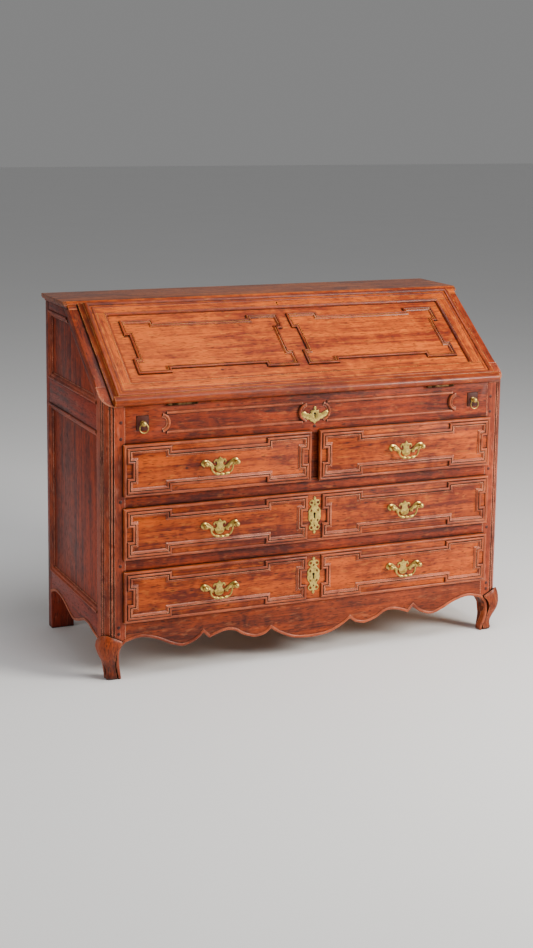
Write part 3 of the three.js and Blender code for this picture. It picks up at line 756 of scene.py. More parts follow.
    def done(self, *replaced: str) -> bpy.types.Object:
        """Closes the piece, lays its grain and finish, and puts it on its body.

        Args:
            *replaced: The frame nodes that it stands for.

        Returns:
            The piece's object.
        """
        bmesh.ops.remove_doubles(self.bm, verts=self.bm.verts, dist=0.002 * MM)
        bmesh.ops.recalc_face_normals(self.bm, faces=self.bm.faces)
        mesh = bpy.data.meshes.new(self.name)
        self.bm.to_mesh(mesh)
        self.bm.free()
        self._lay_grain(mesh)
        mesh.polygons.foreach_set("use_smooth", [True] * len(mesh.polygons))
        mesh.set_sharp_from_angle(angle=math.radians(38))
        mesh.materials.append(self.finish.material())
        piece = bpy.data.objects.new(self.name, mesh)
        bpy.context.scene.collection.objects.link(piece)
        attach(piece, self.body)
        if replaced:
            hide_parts(*replaced)
        LOG.info("%s on %s, %d faces", self.name, self.body, len(mesh.polygons))
        return piece

    def _lay_grain(self, mesh: bpy.types.Mesh) -> None:
        """Writes each face corner's place in its own board, so that the grain follows the work."""
        seed = zlib.crc32(self.name.encode())
        start = Vector((seed % 97, seed // 97 % 89, seed // 8633 % 83)) * 0.37
        runs = mesh.attributes.get("run")
        grain = mesh.attributes.new(GRAIN, "FLOAT_VECTOR", "CORNER")
        turns: dict[tuple, Matrix] = {}
        for face in mesh.polygons:
            run = Vector(runs.data[face.index].vector) if runs else Vector()
            along = run.normalized() if run.length > 1e-9 else self.grain
            key = tuple(round(c, 2) for c in along)
            if key not in turns:
                turns[key] = along.rotation_difference(X).to_matrix()
            for corner in face.loop_indices:
                at = mesh.vertices[mesh.loops[corner].vertex_index].co
                grain.data[corner].vector = turns[key] @ at + start
        if runs:
            mesh.attributes.remove(runs)


def half_round(start: float, end: float, high: float, base: float = -0.5, steps: int = 8) -> list[tuple]:
    """The section of a bead that stands on a board.

    Args:
        start: Where it starts across the board.
        end: Where it ends.
        high: How far it stands up.
        base: Where it is let into the board.
        steps: Facets over it.

    Returns:
        The closed section, in the caller's units.
    """
    middle, reach = (start + end) / 2, (end - start) / 2
    turns = [math.pi * (1 - i / steps) for i in range(steps + 1)]
    round_part = [(middle + reach * math.cos(t), high * math.sin(t)) for t in turns]
    return [(start, base), *round_part, (end, base)]


def stepped(low: tuple, high: tuple, corner: tuple, step: float) -> list[tuple]:
    """A rectangle whose middle stretches step inwards, as corner points, anticlockwise.

    Args:
        low: Its lowest corner.
        high: Its highest corner.
        corner: Lengths of the corner stretches, across and up.
        step: How far the middle stretches step in.

    Returns:
        The corner points.
    """
    (x0, z0), (x1, z1) = low, high
    across, up = corner
    return [
        (x0, z0), (x0 + across, z0), (x0 + across, z0 + step), (x1 - across, z0 + step),
        (x1 - across, z0), (x1, z0), (x1, z0 + up), (x1 - step, z0 + up),
        (x1 - step, z1 - up), (x1, z1 - up), (x1, z1), (x1 - across, z1),
        (x1 - across, z1 - step), (x0 + across, z1 - step), (x0 + across, z1), (x0, z1),
        (x0, z1 - up), (x0 + step, z1 - up), (x0 + step, z0 + up), (x0, z0 + up),
    ]


def rectangle(low: tuple, high: tuple) -> list[tuple]:
    """A rectangle's corners, anticlockwise from the lowest."""
    return [low, (high[0], low[1]), high, (low[0], high[1])]


def keyhole(x: float, z: float, size: float = 1.0) -> list[tuple]:
    """A keyhole's outline: a round head over a slot.

    Args:
        x: The middle of its head.
        z: The middle of its head.
        size: Its size against one with a 4 mm head.

    Returns:
        The outline, in millimetres.
    """
    head = arc((x, z), 4 * size, -60, 240, 10)
    return [*head, (x - 1.9 * size, z - 15 * size), (x + 1.9 * size, z - 15 * size)]


# ---- posts and legs --------------------------------------------------------------------------
@dataclass
class Posts:
    """The reeded front posts with their cabriole legs, and the plain back posts. In millimetres."""

    wide: float = 63
    deep: float = 62
    corner: float = 38
    knee: float = 118
    reed_angles: tuple = (14, 28, 62, 76)
    reed_width: float = 4.2
    reed_depth: float = 3.4
    foot: float = 112
    drawn: float = 900
    arch: float = 20
    strip: float = 12
    strip_back: float = 15
    cap_wire: float = 2.9
    cap_sunk: float = 2.2
    swell: list = field(default_factory=lambda: smooth(
        [(0, -13), (7, -10.5), (20, -13), (36, -10), (54, -2), (76, 8), (96, 12), (112, 9), (118, 5)], 3))
    inside: list = field(default_factory=lambda: [
        (0, 596), (16, 598), (50, 605), (84, 606), (103, 598), (113, 587), (140, 587)])
    back: list = field(default_factory=lambda: [(0, 38), (40, 42), (80, 53), (96, 62), (140, 62)])

    @staticmethod
    def read(table: list[tuple], z: float) -> float:
        """Reads a table of (height, value) pairs between its rows.

        Args:
            table: The pairs, from the lowest.
            z: The height.

        Returns:
            The value there.
        """
        for (z0, a), (z1, b) in zip(table, table[1:]):
            if z <= z1:
                return a + (b - a) * (z - z0) / (z1 - z0)
        return table[-1][1]

    def section(self, reeded: bool) -> list[tuple]:
        """The post's section as (distance from its inner face, depth) pairs.

        Args:
            reeded: Whether the corner carries its reeds.

        Returns:
            The outline.
        """
        steps = 72 if reeded else 16
        points = [(0, self.deep), (0, 0)]
        for i in range(steps + 1):
            turn = 90 - 90 * i / steps
            half_width = math.degrees(self.reed_width / 2 / self.corner)
            near = min(abs(turn - a) for a in self.reed_angles) / half_width
            groove = self.reed_depth * math.sqrt(max(0.0, 1 - near * near)) if reeded else 0.0
            radius = self.corner - groove
            angle = math.radians(turn)
            points.append((
                self.wide - self.corner + radius * math.cos(angle),
                self.corner - radius * math.sin(angle),
            ))
        return [*points, (self.wide, self.deep)]

    def shaft(self, piece: Piece, side: Side) -> None:
        """Cuts the reeded shaft of a post up to the slope.

        Args:
            piece: The piece it is part of.
            side: The side of the desk.
        """
        inner = SETTING.post_inner / MM
        foot = [from_front(side.value * (inner + a), d, self.foot) for a, d in self.section(True)]
        piece.plate(foot, Z * (self.drawn * MM))
        normal = SETTING.on_slope().to_3x3() @ Z
        plane = from_front(0, 0, SETTING.slope_foot / MM)
        geometry = [*piece.bm.verts, *piece.bm.edges, *piece.bm.faces]
        cut = bmesh.ops.bisect_plane(
            piece.bm, geom=geometry, plane_co=plane, plane_no=normal, clear_outer=True, dist=0.01 * MM,
        )["geom_cut"]
        rim = [g for g in cut if isinstance(g, bmesh.types.BMEdge)]
        bmesh.ops.edgeloop_fill(piece.bm, edges=rim)

    def leg(self, piece: Piece, side: Side, inset: float, behind: float, lift: float) -> None:
        """Carves a cabriole leg below the knee.

        Args:
            piece: The piece it is part of.
            side: The side of the desk.
            inset: How far it stays clear of the leg's inner and back edges.
            behind: How far it stays behind the knee's outer faces.
            lift: How far the knee's top rises at the corner.
        """
        levels = [z for z, _ in reversed(self.swell)]
        section = self.section(False)

        def ring(z: float) -> list[Vector]:
            """The leg's section at a height."""
            swell = self.read(self.swell, z) - behind
            start = self.read(self.inside, z) + inset
            end = SETTING.half / MM + swell
            rear = self.read(self.back, z) - inset
            fade = max(0.0, (z - 76) / (self.knee - 76)) ** 1.5
            made = []
            for a, d in section:
                off = abs(a / self.wide - (self.deep - d) / self.deep)
                rise = lift * fade * (1 - off ** 1.6)
                x = start + (end - start) * a / self.wide
                y = -swell + (rear + swell) * d / self.deep
                made.append(from_front(side.value * x, y, z + rise))
            return made

        verts = [piece.bm.verts.new(p) for p in ring(levels[0])]
        loop = [piece.bm.edges.new((verts[i - 1], verts[i])) for i in range(len(verts))]
        bmesh.ops.edgeloop_fill(piece.bm, edges=loop)
        for z in levels[1:]:
            made = bmesh.ops.extrude_edge_only(piece.bm, edges=loop)["geom"]
            fresh = {g for g in made if isinstance(g, bmesh.types.BMVert)}
            loop = [g for g in made if isinstance(g, bmesh.types.BMEdge) and fresh.issuperset(g.verts)]
            verts = [self._beyond(v, fresh) for v in verts]
            for vert, place in zip(verts, ring(z)):
                vert.co = place
        bottom = bmesh.ops.edgeloop_fill(piece.bm, edges=loop)["faces"]
        piece.soften(list({e for f in bottom for e in f.edges}), 3 * MM, 3)

    @staticmethod
    def _beyond(vert: bmesh.types.BMVert, fresh: set) -> bmesh.types.BMVert:
        """The fresh vertex that was drawn out of a vertex."""
        return next(e.other_vert(vert) for e in vert.link_edges if e.other_vert(vert) in fresh)

    def cap(self, piece: Piece, side: Side) -> None:
        """Runs the worn bead round the top of a post, where the slope cuts it.

        Args:
            piece: The piece it is part of.
            side: The side of the desk.
        """
        inner = SETTING.post_inner / MM
        line = [(a, d) for a, d in self.section(False)[1:] if a > self.wide - self.corner - 22]
        line = [(self.wide - self.corner - 20, 0), *line]
        rise = math.tan(SETTING.slope)
        foot = SETTING.slope_foot / MM
        path = [from_front(side.value * (inner + a), d, foot + d * rise - self.cap_sunk) for a, d in line]
        piece.wire(path, [self.cap_wire * MM] * len(path), Z, sides=8)

    def build(self) -> None:
        """Makes both front posts and both back posts."""
        for side in Side:
            post = Piece(f"front_post_{side.label}_reeded", Finish.POST, "carcass", Z)
            self.shaft(post, side)
            post.done(f"front_post_{side.label}")
            leg = Piece(f"cabriole_leg_{side.label}", Finish.APRON, "carcass", Z)
            self.leg(leg, side, self.strip, 0, self.arch)
            self.leg(leg, side, 0.6, self.strip_back, 0)
            leg.done()
            cap = Piece(f"post_cap_bead_{side.label}", Finish.MOULDING, "carcass", X)
            self.cap(cap, side)
            cap.done()
            name = f"back_post_{side.label}"
            Piece(f"{name}_eased", Finish.CASE, "carcass", Z).node(name, 2 * MM).done(name)


# ---- sides -----------------------------------------------------------------------------------
@dataclass
class SideFrames:
    """The framed sides: rails, sunk panels, mouldings and aprons. In millimetres."""

    panel_face: float = 642
    moulding: tuple = (
        (-2.5, -0.5), (-2.5, 8.6), *arc((1.5, 8.4), 4, 180, 20, 7), (6.6, 8.6), (8.2, 8.4),
        *arc((8.2, 1.2), 7.2, 78, 10, 5), (17.5, 1.0), (17.5, -0.5),
    )
    bead: float = 9
    scallop: tuple = (
        (525.7, 119), (484, 133), (432, 134), (381, 123), (320, 103), (285, 100),
        (235, 113), (191, 128), (150, 130), (110, 121), (62.3, 112),
    )
    rails: tuple = ("slope_rail", "side_top_rail", "side_mid_rail", "side_apron")

    def out(self, side: Side) -> Vector:
        """The direction out of a side."""
        return X * side.value

    def run(self, piece: Piece, side: Side, line: list[tuple], profile: list[tuple], face: float) -> None:
        """Runs a moulding on a side, its across direction to the left of a line seen from the right.

        Args:
            piece: The piece it is part of.
            side: The side of the desk.
            line: (depth, height) pairs.
            profile: The moulding's section.
            face: The plane that it lies on.
        """
        path = [from_front(side.value * face, y, z) for y, z in line]
        piece.sweep(list(profile), path if side is Side.RIGHT else path[::-1], self.out(side))

    def panels(self, side: Side) -> None:
        """Makes a side's two panels and their mouldings.

        Args:
            side: The side of the desk.
        """
        for level in ("upper", "lower"):
            name = f"side_{level}_panel_{side.label}"
            Piece(f"{name}_figured", Finish.PANEL, "carcass", Z).node(name, 1 * MM).done(name)
        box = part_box(f"side_lower_panel_{side.label}")
        front, back = ((v.y - SETTING.front) / MM for v in box)
        low, high = box[0].z / MM, box[1].z / MM
        lower = Piece(f"side_lower_moulding_{side.label}", Finish.POST, "carcass", Z)
        line = [(front + 2, low), (back, low), (back, high), (front + 2, high)]
        self.run(lower, side, line, self.moulding, self.panel_face)
        lower.done()

        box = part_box(f"side_upper_panel_{side.label}")
        low, high = box[0].z / MM, box[1].z / MM
        rail = 35 / math.cos(SETTING.slope)
        foot = SETTING.slope_foot / MM
        rise = math.tan(SETTING.slope)
        head = (high - foot + rail) / rise
        start = max(front, (low - foot + rail) / rise)
        upper = Piece(f"side_upper_moulding_{side.label}", Finish.POST, "carcass", Z)
        line = [(start, low), (back, low), (back, high), (head, high)]
        self.run(upper, side, line, self.moulding, self.panel_face)
        upper.done()

    def apron_bead(self, side: Side) -> None:
        """Runs the bead along a side apron and down the back edge of the front leg.

        Args:
            side: The side of the desk.
        """
        posts = Posts()
        curve = smooth(list(self.scallop), 4)
        leg = [(posts.back[0][1], 1.5), *[(y, z) for z, y in posts.back[1:4]]]
        legs = [(y, z, max(0.0, -posts.read(posts.swell, z))) for y, z in leg]
        line = [*legs, *[(y, z, 0.0) for y, z in reversed(curve)]]
        half = SETTING.half / MM
        path = [from_front(side.value * (half - inset), y, z) for y, z, inset in line]
        profile = half_round(0, self.bead, 2.6, -18)
        bead = Piece(f"side_apron_bead_{side.label}", Finish.MOULDING, "carcass", Y)
        bead.sweep(profile, path if side is Side.RIGHT else path[::-1], self.out(side))
        bead.done()

    def build(self) -> None:
        """Makes both sides."""
        for side in Side:
            for rail in self.rails:
                name = f"{rail}_{side.label}"
                grain = SETTING.up_slope() if rail == "slope_rail" else Y
                finish = Finish.FRONT if rail == "slope_rail" else Finish.CASE
                Piece(f"{name}_eased", finish, "carcass", grain).node(name, 1.3 * MM).done(name)
            self.panels(side)
            self.apron_bead(side)


# ---- top and back ----------------------------------------------------------------------------
@dataclass
class TopAndBack:
    """The top board with the cove under its edge, and the boarded back. In millimetres."""

    overhang: float = 8
    cove_drop: float = 11.2
    edge: tuple = (414.2, 429.4)  # where the front edge starts and ends, up the slope
    ends: tuple = (392.8, 414.0)  # and its short returns beside the fall
    ends_inner: float = 33.5
    edge_depth: float = 5
    boards: int = 6

    def build(self) -> None:
        """Makes the top board, its cove, its front edge and the back boards."""
        Piece("top_board_eased", Finish.TOP, "carcass", X).node("top_board", 1.8 * MM, 3).done("top_board")
        half = SETTING.half / MM
        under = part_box("top_board")[1].z / MM - self.cove_drop
        back = (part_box("back_post_left")[1].y - SETTING.front) / MM
        front = (under - SETTING.slope_foot / MM) / math.tan(SETTING.slope)
        corners = [(half, front), (half, back), (-half, back), (-half, front)]
        path = [from_front(x, y, under) for x, y in corners]
        reach = self.overhang
        hollow = arc((reach, reach + 1.2), reach - 1.5, -90, -180, 6)
        top = reach + 2.2
        section = [(-0.5, -0.3), (reach, -0.3), (reach, 1.2), *hollow, (1.5, top), (-0.5, top)]
        Piece("top_cove", Finish.CASE, "carcass", X).sweep(section, path, -Z).done()

        strip = Piece("top_front_edge", Finish.FALL, "carcass", X)
        (low, high), deep = self.edge, -self.edge_depth
        strip.board(Vector((-half, low, deep)) * MM, Vector((half, high, 0.9)) * MM, 0.9 * MM)
        low, high = self.ends
        for side in Side:
            inner = SETTING.post_inner / MM + self.ends_inner
            left, right = sorted((side.value * inner, side.value * half))
            strip.board(Vector((left, low, deep)) * MM, Vector((right, high, 0.6)) * MM, 0.6 * MM)
        strip.place(SETTING.on_slope()).done()

        low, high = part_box("back_panel")
        wide = (high.x - low.x) / self.boards
        for i in range(self.boards):
            board = Piece(f"back_board_{i + 1}", Finish.INSIDE, "carcass", Z)
            start = Vector((low.x + i * wide + 0.3 * MM, low.y, low.z))
            end = Vector((low.x + (i + 1) * wide - 0.3 * MM, high.y, high.z))
            board.board(start, end, 2.0 * MM, 1).done(*(["back_panel"] if i == 0 else []))


# ---- frieze, rails and apron -----------------------------------------------------------------
@dataclass
class Front:
    """The frieze with its sunk panels, the drawer rails, the scalloped apron and the pegs. In mm."""

    middle: float = 746
    half_panel: float = 24
    end: tuple = (586.7, 113)
    thick: float = 22
    centre_scoop: tuple = (22, 30)
    outer_scoop: tuple = (480, 29)
    bead: float = 9
    runs: tuple = (
        ((0, 56), (55, 61), (100, 79), (131, 99)),
        ((131, 99), (150, 85), (182, 79), (220, 90), (247, 106), (272, 110.5), (300, 105), (329, 94)),
        ((329, 94), (347, 112)),
        ((347, 112), (372, 92), (412, 80), (450, 91), (490, 110), (540, 122.5), end),
    )
    peg: tuple = ((5.2, -6), (5.2, 0.2), (4.2, 0.9), (2.0, 1.3))
    pegs: tuple = ((599, 754), (599, 707), (601, 526), (602, 339), (607, 158), (607, 139))

    def frieze(self) -> None:
        """Makes the frieze rail and the beads of its sunk panels."""
        rail = Piece("frieze_rail_carved", Finish.FRONT, "carcass", X)
        rail.node("frieze_rail", 0.9 * MM).done("frieze_rail")
        beads = Piece("frieze_beads", Finish.MOULDING, "carcass", X)
        (near, r0), (far, r1) = self.centre_scoop, self.outer_scoop
        straight = [(-8.6, -1), (-8.6, 0.2), *arc((-4.3, 0.4), 4.1, 180, 0, 7), (0, -4.2)]
        spread = math.degrees(math.asin(self.half_panel / r0))
        start = near + r0 * math.cos(math.radians(spread))
        end = far - r1 * math.cos(math.radians(spread))
        hook = [(0.3, -4.2), (0.3, 0.4), *arc((4.4, 0.4), 4.1, 180, 10, 7), (9.2, 0.8),
                *arc((11, 0.2), 1.9, 140, 0, 4), (12.9, -1)]
        for side in Side:
            low, high = self.middle - self.half_panel, self.middle + self.half_panel
            lines = [[(start, low), (end, low)], [(end, high), (start, high)]]
            for line in lines:
                path = flat([(side.value * x, z) for x, z in line])
                beads.sweep(straight, path if side is Side.RIGHT else path[::-1], FORWARD)
            centre = arc((near, self.middle), r0, -75, 75, 14)
            outer = arc((far, self.middle), r1, 105, 255, 14)
            for line in (centre, outer):
                path = flat([(side.value * x, z) for x, z in line])
                beads.sweep(hook, path if side is Side.RIGHT else path[::-1], FORWARD)
        beads.done()

    def rails(self) -> None:
        """Makes the drawer rails with their dust boards, and the board under the lowest drawer."""
        for name in ("drawer_shelf_upper", "drawer_shelf_lower"):
            Piece(f"{name}_eased", Finish.FRONT, "carcass", X).node(name, 1.0 * MM).done(name)
        for name in ("bottom_shelf", "writing_deck"):
            Piece(f"{name}_eased", Finish.INSIDE, "carcass", X).node(name, 1.0 * MM).done(name)

    def apron_line(self) -> list[tuple]:
        """The apron's lower edge from the middle to the right post, in runs that meet in cusps."""
        return [p for run in self.runs for p in smooth(list(run), 4 if len(run) > 2 else 1)[:-1]]

    def apron(self) -> None:
        """Cuts the apron and runs its bead along its edge and down both legs."""
        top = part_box("front_apron")[1].z / MM
        right = [*self.apron_line(), self.end]
        reach = self.end[0]
        edge = [(-x, z) for x, z in reversed(right[1:])] + right
        board = Piece("front_apron_cut", Finish.APRON, "carcass", X)
        outline = [from_front(x, self.thick, z) for x, z in [*edge, (reach, top), (-reach, top)]]
        board.plate(outline, FORWARD * (self.thick * MM), soft=0.6 * MM).done("front_apron")

        posts = Posts()
        leg = [(x, max(1.5, z), max(0.0, -posts.read(posts.swell, z))) for z, x in posts.inside[:5]]
        legs = smooth([(z, x, y) for x, z, y in leg], 3)
        down = [from_front(x, y, z) for z, x, y in reversed(legs)]
        across = [from_front(x, 0, z) for x, z in edge]
        mirror = [Vector((-p.x, p.y, p.z)) for p in reversed(down)]
        bead = Piece("apron_bead", Finish.MOULDING, "carcass", X)
        bead.sweep(half_round(0, self.bead, 2.8, -20), [*mirror, *across, *down], FORWARD)
        bead.done()

    def peg_heads(self) -> None:
        """Drives the pegs that hold the rails' tenons."""
        spots = [(side.value * x, z) for side in Side for x, z in self.pegs] + [(0, 703)]
        for i, (x, z) in enumerate(spots):
            peg = Piece(f"tenon_peg_{i + 1}", Finish.PEG, "carcass", Y)
            peg.turned(list(self.peg), from_front(x, 0, z), FORWARD, 12).done()

    def build(self) -> None:
        """Makes the whole front of the case."""
        self.frieze()
        self.rails()
        self.apron()
        self.peg_heads()


# ---- the fall --------------------------------------------------------------------------------
@dataclass
class Fall:
    """The writing fall: moulded frame, panel, nosing, lock and hinges. In mm, laid on the slope."""

    half: float = 621
    top: float = 413
    field_half: float = 547
    field: tuple = (72, 345)
    flat_face: float = 20
    panel_face: float = 13
    outer: tuple = (
        (0, 0.4), (0, 8.6), *arc((0, 20.6), 12, -90, -4, 7), (12.6, 20.8), (12.6, 19.6),
        *arc((19.8, 17.8), 7.2, 165, 8, 10), (27.4, 16.2), (30, 16.2), *arc((33.8, 17.6), 3.8, 180, 0, 6),
        (37.8, 16.2), (40.2, 16.2), (40.6, 19.9), (41.4, 20.2), (41.4, 0.4),
    )
    inner: tuple = (
        (-12.4, 0.4), (-12.4, 20.2), (-11.6, 18.4), (-10, 18.4), (-9.8, 20.4),
        *arc((-9.2, 12.2), 8.6, 86, 0, 7), (-0.6, 0.4),
    )
    applied: tuple = (
        (0, -0.5), (0, 3.0), *arc((3.6, 3.0), 3.6, 180, 20, 6), (7.6, 2.6), (8.6, 4.6), (10.4, 4.2),
        (12.4, 2.4), (14, 0.9), (14, -0.5),
    )
    moulding_size: tuple = (505, 220)
    moulding_middle: tuple = (267.5, 212)
    corner: tuple = (103, 62)
    step: float = 16
    key: tuple = (0, 366.5)
    rim: float = 20
    lap: float = 6
    under: float = 0.4
    lock_case: tuple = ((-35, 345, -9.8), (35, 388, 0.3))
    screws: tuple = ((-28, 351), (-28, 382), (28, 351), (28, 382))
    screw: tuple = ((3.4, 0), (3.4, 0.4), (2.4, 1.1), (0.8, 1.3))
    knuckle: float = 4.5

    def _lay(self, points: list[tuple], n: float = 0) -> list[Vector]:
        """Points of the slope from (x, s) pairs in millimetres."""
        return [Vector((x, s, n)) * MM for x, s in points]

    def frame(self) -> None:
        """Makes the frame's boards and mouldings."""
        up = SETTING.up_slope()
        s0, s1 = self.field
        face = self.flat_face
        edge_x, field_x = self.half - self.rim, self.field_half + self.lap
        low, high = s0 - self.lap - 2, s1 + self.lap
        boards = {
            "bottom": ((-edge_x, 14), (edge_x, low), X),
            "left": ((-edge_x, low), (-field_x, high), up),
            "right": ((field_x, low), (edge_x, high), up),
        }
        for name, (start, end, grain) in boards.items():
            board = Piece(f"fall_frame_{name}", Finish.FALL, "fall", grain)
            board.board(Vector((*start, self.under)) * MM, Vector((*end, face)) * MM, 0.3 * MM, 1)
            board.place(SETTING.on_slope()).done()
        rail = Piece("fall_frame_top", Finish.FALL, "fall", X)
        outline = self._lay(rectangle((-edge_x, high), (edge_x, self.top - self.rim)), self.under)
        hole = self._lay(keyhole(*self.key, 0.7), self.under)
        rail.plate(outline, Z * ((face - self.under) * MM), [hole])
        rail.place(SETTING.on_slope()).done()

        edge = Piece("fall_edge_moulding", Finish.FALL_MOULDING, "fall", X)
        corners = rectangle((-self.half, 0), (self.half, self.top))
        edge.sweep(list(self.outer), self._lay(corners), Z, closed=True)
        edge.place(SETTING.on_slope()).done("fall_frame")
        field_edge = Piece("fall_field_moulding", Finish.FALL_MOULDING, "fall", X)
        corners = rectangle((-self.field_half, s0), (self.field_half, s1))
        field_edge.sweep(list(self.inner), self._lay(corners), Z, closed=True)
        field_edge.place(SETTING.on_slope()).done()

    def nosing(self) -> None:
        """Makes the rounded nosing along the fall's lower edge."""
        nose = Piece("fall_nosing", Finish.FALL_MOULDING, "fall", X)
        section = [(1, 0.2), *arc((1, 13), 12.6, -90, -270, 14), (13.4, 24.6), (14, 20), (14, 0.2)]
        ends = self._lay([(-self.half + 1, 0), (self.half - 1, 0)])
        nose.sweep(section, ends, Z)
        rims = [e for e in nose.bm.edges if e.calc_face_angle(0) > 1.2 and abs(
            (e.verts[0].co - e.verts[1].co).x) < 1 * MM]
        nose.soften(rims, 2.2 * MM, 3)
        nose.place(SETTING.on_slope()).done()

    def panel(self) -> None:
        """Makes the panel and its two applied mouldings."""
        s0, s1 = self.field
        board = Piece("fall_panel_figured", Finish.FALL, "fall", X)
        low = Vector((-self.field_half - 3, s0 - 3, 0.6)) * MM
        board.board(low, Vector((self.field_half + 3, s1 + 3, self.panel_face)) * MM, 0.4 * MM, 1)
        board.place(SETTING.on_slope()).done("fall_panel")
        wide, high = self.moulding_size
        for side in Side:
            mid = (side.value * self.moulding_middle[0], self.moulding_middle[1])
            low = (mid[0] - wide / 2, mid[1] - high / 2)
            line = stepped(low, (mid[0] + wide / 2, mid[1] + high / 2), self.corner, self.step)
            moulding = Piece(f"fall_moulding_{side.label}", Finish.FALL_MOULDING, "fall", X)
            moulding.sweep(list(self.applied), self._lay(line, self.panel_face), Z, closed=True)
            moulding.place(SETTING.on_slope()).done()

    def lock(self) -> None:
        """Makes the lock case on the fall's inside, its screws and its bolt."""
        case = Piece("fall_lock_case", Finish.IRON, "fall", X)
        low, high = self.lock_case
        case.board(Vector(low) * MM, Vector(high) * MM, 1.2 * MM)
        for x, s in self.screws:
            case.turned(list(self.screw), Vector((x, s, low[2] + 0.1)) * MM, -Z, 12)
        case.place(SETTING.on_slope()).done()
        Piece("fall_lock_bolt_filed", Finish.IRON, "fall_lock_bolt", X).node(
            "fall_lock_bolt", 0.5 * MM).done("fall_lock_bolt")

    def hinges(self) -> None:
        """Makes both hinges: leaves and knuckles."""
        for side in Side:
            leaf = f"hinge_case_leaf_{side.label}"
            low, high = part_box(leaf)
            radius = self.knuckle
            pin_z = high.z - radius * MM
            pin_y = low.y + radius * MM
            third = (high.x - low.x) / 3
            for name, body, knuckles, node in (
                ("hinge_fixed", "carcass", (0, 2), leaf),
                ("hinge_moving", "fall", (1,), f"hinge_fall_leaf_{side.label}"),
            ):
                piece = Piece(f"{name}_{side.label}", Finish.OLD_BRASS, body, X)
                for i in knuckles:
                    start = Vector((low.x + i * third, pin_y, pin_z))
                    long = third / MM
                    barrel = [(3.4, 0.3), (radius, 1.0), (radius, long * 0.3), (radius - 0.5, long * 0.34),
                              (radius, long * 0.38), (radius, long - 1.0), (3.4, long - 0.3)]
                    piece.turned(barrel, start, X, 16)
                piece.node(node, 0.3 * MM, 1)
                piece.done(node)

    def build(self) -> None:
        """Makes the whole fall."""
        self.frame()
        self.nosing()
        self.panel()
        self.lock()
        self.hinges()


# ---- drawers ---------------------------------------------------------------------------------
@dataclass(frozen=True)
class DrawerPlan:
    """One drawer: its name and whether it is full width, with a lock."""

    name: str
    locked: bool

    def mouldings(self, low: float, high: float, bead: float, middle: float) -> list[tuple]:
        """The spans of its applied mouldings.

        Args:
            low: Its left edge.
            high: Its right edge.
            bead: Width of the bead round its lip.
            middle: Inner edge of the mouldings on a full-width drawer.

        Returns:
            (left, right) pairs.
        """
        if self.locked:
            return [(low + bead, -middle), (middle, high - bead)]
        return [(low + bead, high - bead)]


